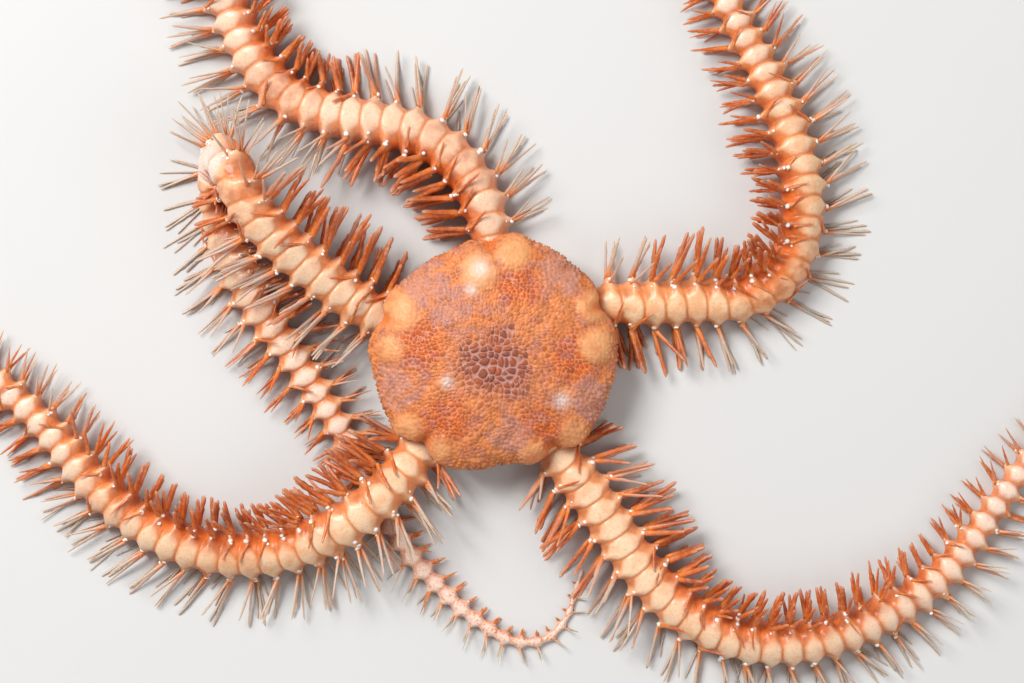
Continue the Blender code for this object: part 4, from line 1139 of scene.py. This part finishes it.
class STAR_OT_mouth(bpy.types.Operator):
    """Gives the jaws their finish, and adds the shields on them and the papillae along their edges"""

    bl_idname = "star.mouth"
    bl_label = "Mouth"
    shield_place = (5.2, 0.42)
    shield_width = 1.15
    shield_height = 0.22
    papilla_width = 0.21

    def execute(self, context):
        """Dresses the jaws, and makes the shields between the arms and the papillae along the grooves."""
        material = finish_for("jaw plates", jaw_finish)
        for number in range(1, 6):
            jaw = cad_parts[f"jaw_{number}"]
            jaw.data.materials.clear()
            jaw.data.materials.append(material)
        azimuths = np.sort(ARM_AZIMUTHS)
        apart = np.diff(np.r_[azimuths, azimuths[0] + 360.0])
        middle = np.radians(azimuths + apart / 2)
        reach, height = self.shield_place
        place = np.column_stack([reach * np.cos(middle), reach * np.sin(middle), np.full(5, height)])
        down = np.tile([0.0, 0.0, -1.0], (5, 1))
        wide, high = np.full(5, self.shield_width), np.full(5, self.shield_height)
        small_domes("oral_shields", place, down, wide, high, material, "jaw_plates", None, 7, 20)
        along = np.linspace(1.15, 3.6, 6)
        azimuth = np.radians(azimuths)[:, None, None]
        across = np.array([-0.48, 0.48])[None, None, :]
        x = along[None, :, None] * np.cos(azimuth) - across * np.sin(azimuth)
        y = along[None, :, None] * np.sin(azimuth) + across * np.cos(azimuth)
        papillae = np.stack([x, y, np.full(x.shape, 0.4)], -1).reshape(-1, 3)
        down = np.tile([0.0, 0.0, -1.0], (len(papillae), 1))
        radius = np.full(len(papillae), self.papilla_width)
        small_domes("oral_papillae", papillae, down, radius, radius * 1.4, material, "jaw_plates")
        return {"FINISHED"}


class STAR_OT_stage(bpy.types.Operator):
    """Adds the pale floor, the soft lights and the camera over the animal"""

    bl_idname = "star.stage"
    bl_label = "Stage"
    floor_reach = 0.6
    sky_colour = (0.95, 0.97, 1.0, 1.0)
    sky_strength = 0.36

    def execute(self, context):
        """Makes the floor, the lights with the sky, and the camera."""
        stage = context.scene.brittle_star_stage
        self.floor(stage)
        self.lights(context.scene, stage)
        self.camera(context.scene, stage)
        return {"FINISHED"}

    def floor(self, stage):
        """A flat square, 1.2 m across, at the height the arms rest on."""
        far = self.floor_reach
        corners = [(-far, -far, 0.0), (far, -far, 0.0), (far, far, 0.0), (-far, far, 0.0)]
        mesh = bpy.data.meshes.new("floor")
        mesh.from_pydata(corners, [], [(0, 1, 2, 3)])
        mesh.update()
        finish = Finish("floor", Roughness=0.85)
        cloud = finish.noise(40.0)
        edge = tuple(0.96 * part for part in stage.floor_colour)
        shades = finish.mix(cloud, tint(stage.floor_colour), tint(edge))
        mesh.materials.append(finish.feed(Base_Color=shades))
        floor = placed("floor", mesh)

    def lights(self, scene, stage):
        """A wide key light from the upper left, a weaker one from the right, and an even sky."""
        for name, power, place, wide in (
            ("key light", stage.key_power, (-0.22, 0.2, 0.36), 0.22),
            ("fill light", stage.fill_power, (0.3, -0.12, 0.25), 0.3),
        ):
            lamp = bpy.data.lights.new(name, "AREA")
            lamp.energy = power
            lamp.size = wide
            made = placed(name, lamp)
            made.location = place
            aim = -np.array(place)
            heading = math.atan2(aim[1], aim[0])
            drop = math.acos(aim[2] / np.linalg.norm(aim))
            made.rotation_euler = (math.pi - drop, 0.0, heading + 1.5 * math.pi)
        world = bpy.data.worlds.new("sky")
        scene.world = world
        world.use_nodes = True
        sky = world.node_tree.nodes["Background"]
        sky.inputs[0].default_value = self.sky_colour
        sky.inputs[1].default_value = self.sky_strength

    def camera(self, scene, stage):
        """A long lens straight above the disc, framed as the photograph is."""
        lens = bpy.data.cameras.new("camera")
        made = placed("camera", lens)
        lens.sensor_width = 36.0
        lens.lens = lens.sensor_width * (stage.camera_height - SHARP_HEIGHT * MM) / stage.view_width
        made.location = ORIGIN * MM + np.array([stage.view_x, stage.view_y, stage.camera_height])
        lens.clip_start = 0.01
        lens.clip_end = 5.0
        scene.camera = made
        scene.view_settings.view_transform = "Standard"


class STAR_PT_panel(bpy.types.Panel):
    """Lists the animal's sizes and colours, and the steps that make it"""

    bl_idname = "STAR_PT_panel"
    bl_label = "Brittle star"
    bl_space_type = "VIEW_3D"
    bl_region_type = "UI"
    bl_category = "Brittle star"

    def draw(self, context):
        """Shows each setting and a button for each step."""
        for group in (context.scene.brittle_star, context.scene.brittle_star_stage):
            box = self.layout.box()
            for word in group.__annotations__:
                box.prop(group, word)
        for step in STEPS:
            self.layout.operator(step.bl_idname)


STEPS = (STAR_OT_arms, STAR_OT_disc, STAR_OT_spines, STAR_OT_knobs, STAR_OT_mouth, STAR_OT_stage)
CLASSES = (StarSettings, StageSettings, *STEPS, STAR_PT_panel)


def register():
    """Adds the classes and the scene's two groups of settings."""
    for kind in CLASSES:
        bpy.utils.register_class(kind)
    bpy.types.Scene.brittle_star = bpy.props.PointerProperty(type=StarSettings)
    bpy.types.Scene.brittle_star_stage = bpy.props.PointerProperty(type=StageSettings)


def unregister():
    """Takes the settings and the classes away again."""
    del bpy.types.Scene.brittle_star_stage
    del bpy.types.Scene.brittle_star
    for kind in reversed(CLASSES):
        bpy.utils.unregister_class(kind)


def main():
    """Registers the add-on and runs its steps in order."""
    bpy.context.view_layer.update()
    register()
    bpy.ops.star.arms()
    bpy.ops.star.disc()
    bpy.ops.star.spines()
    bpy.ops.star.knobs()
    bpy.ops.star.mouth()
    bpy.ops.star.stage()


if __name__ == "__main__":
    main()
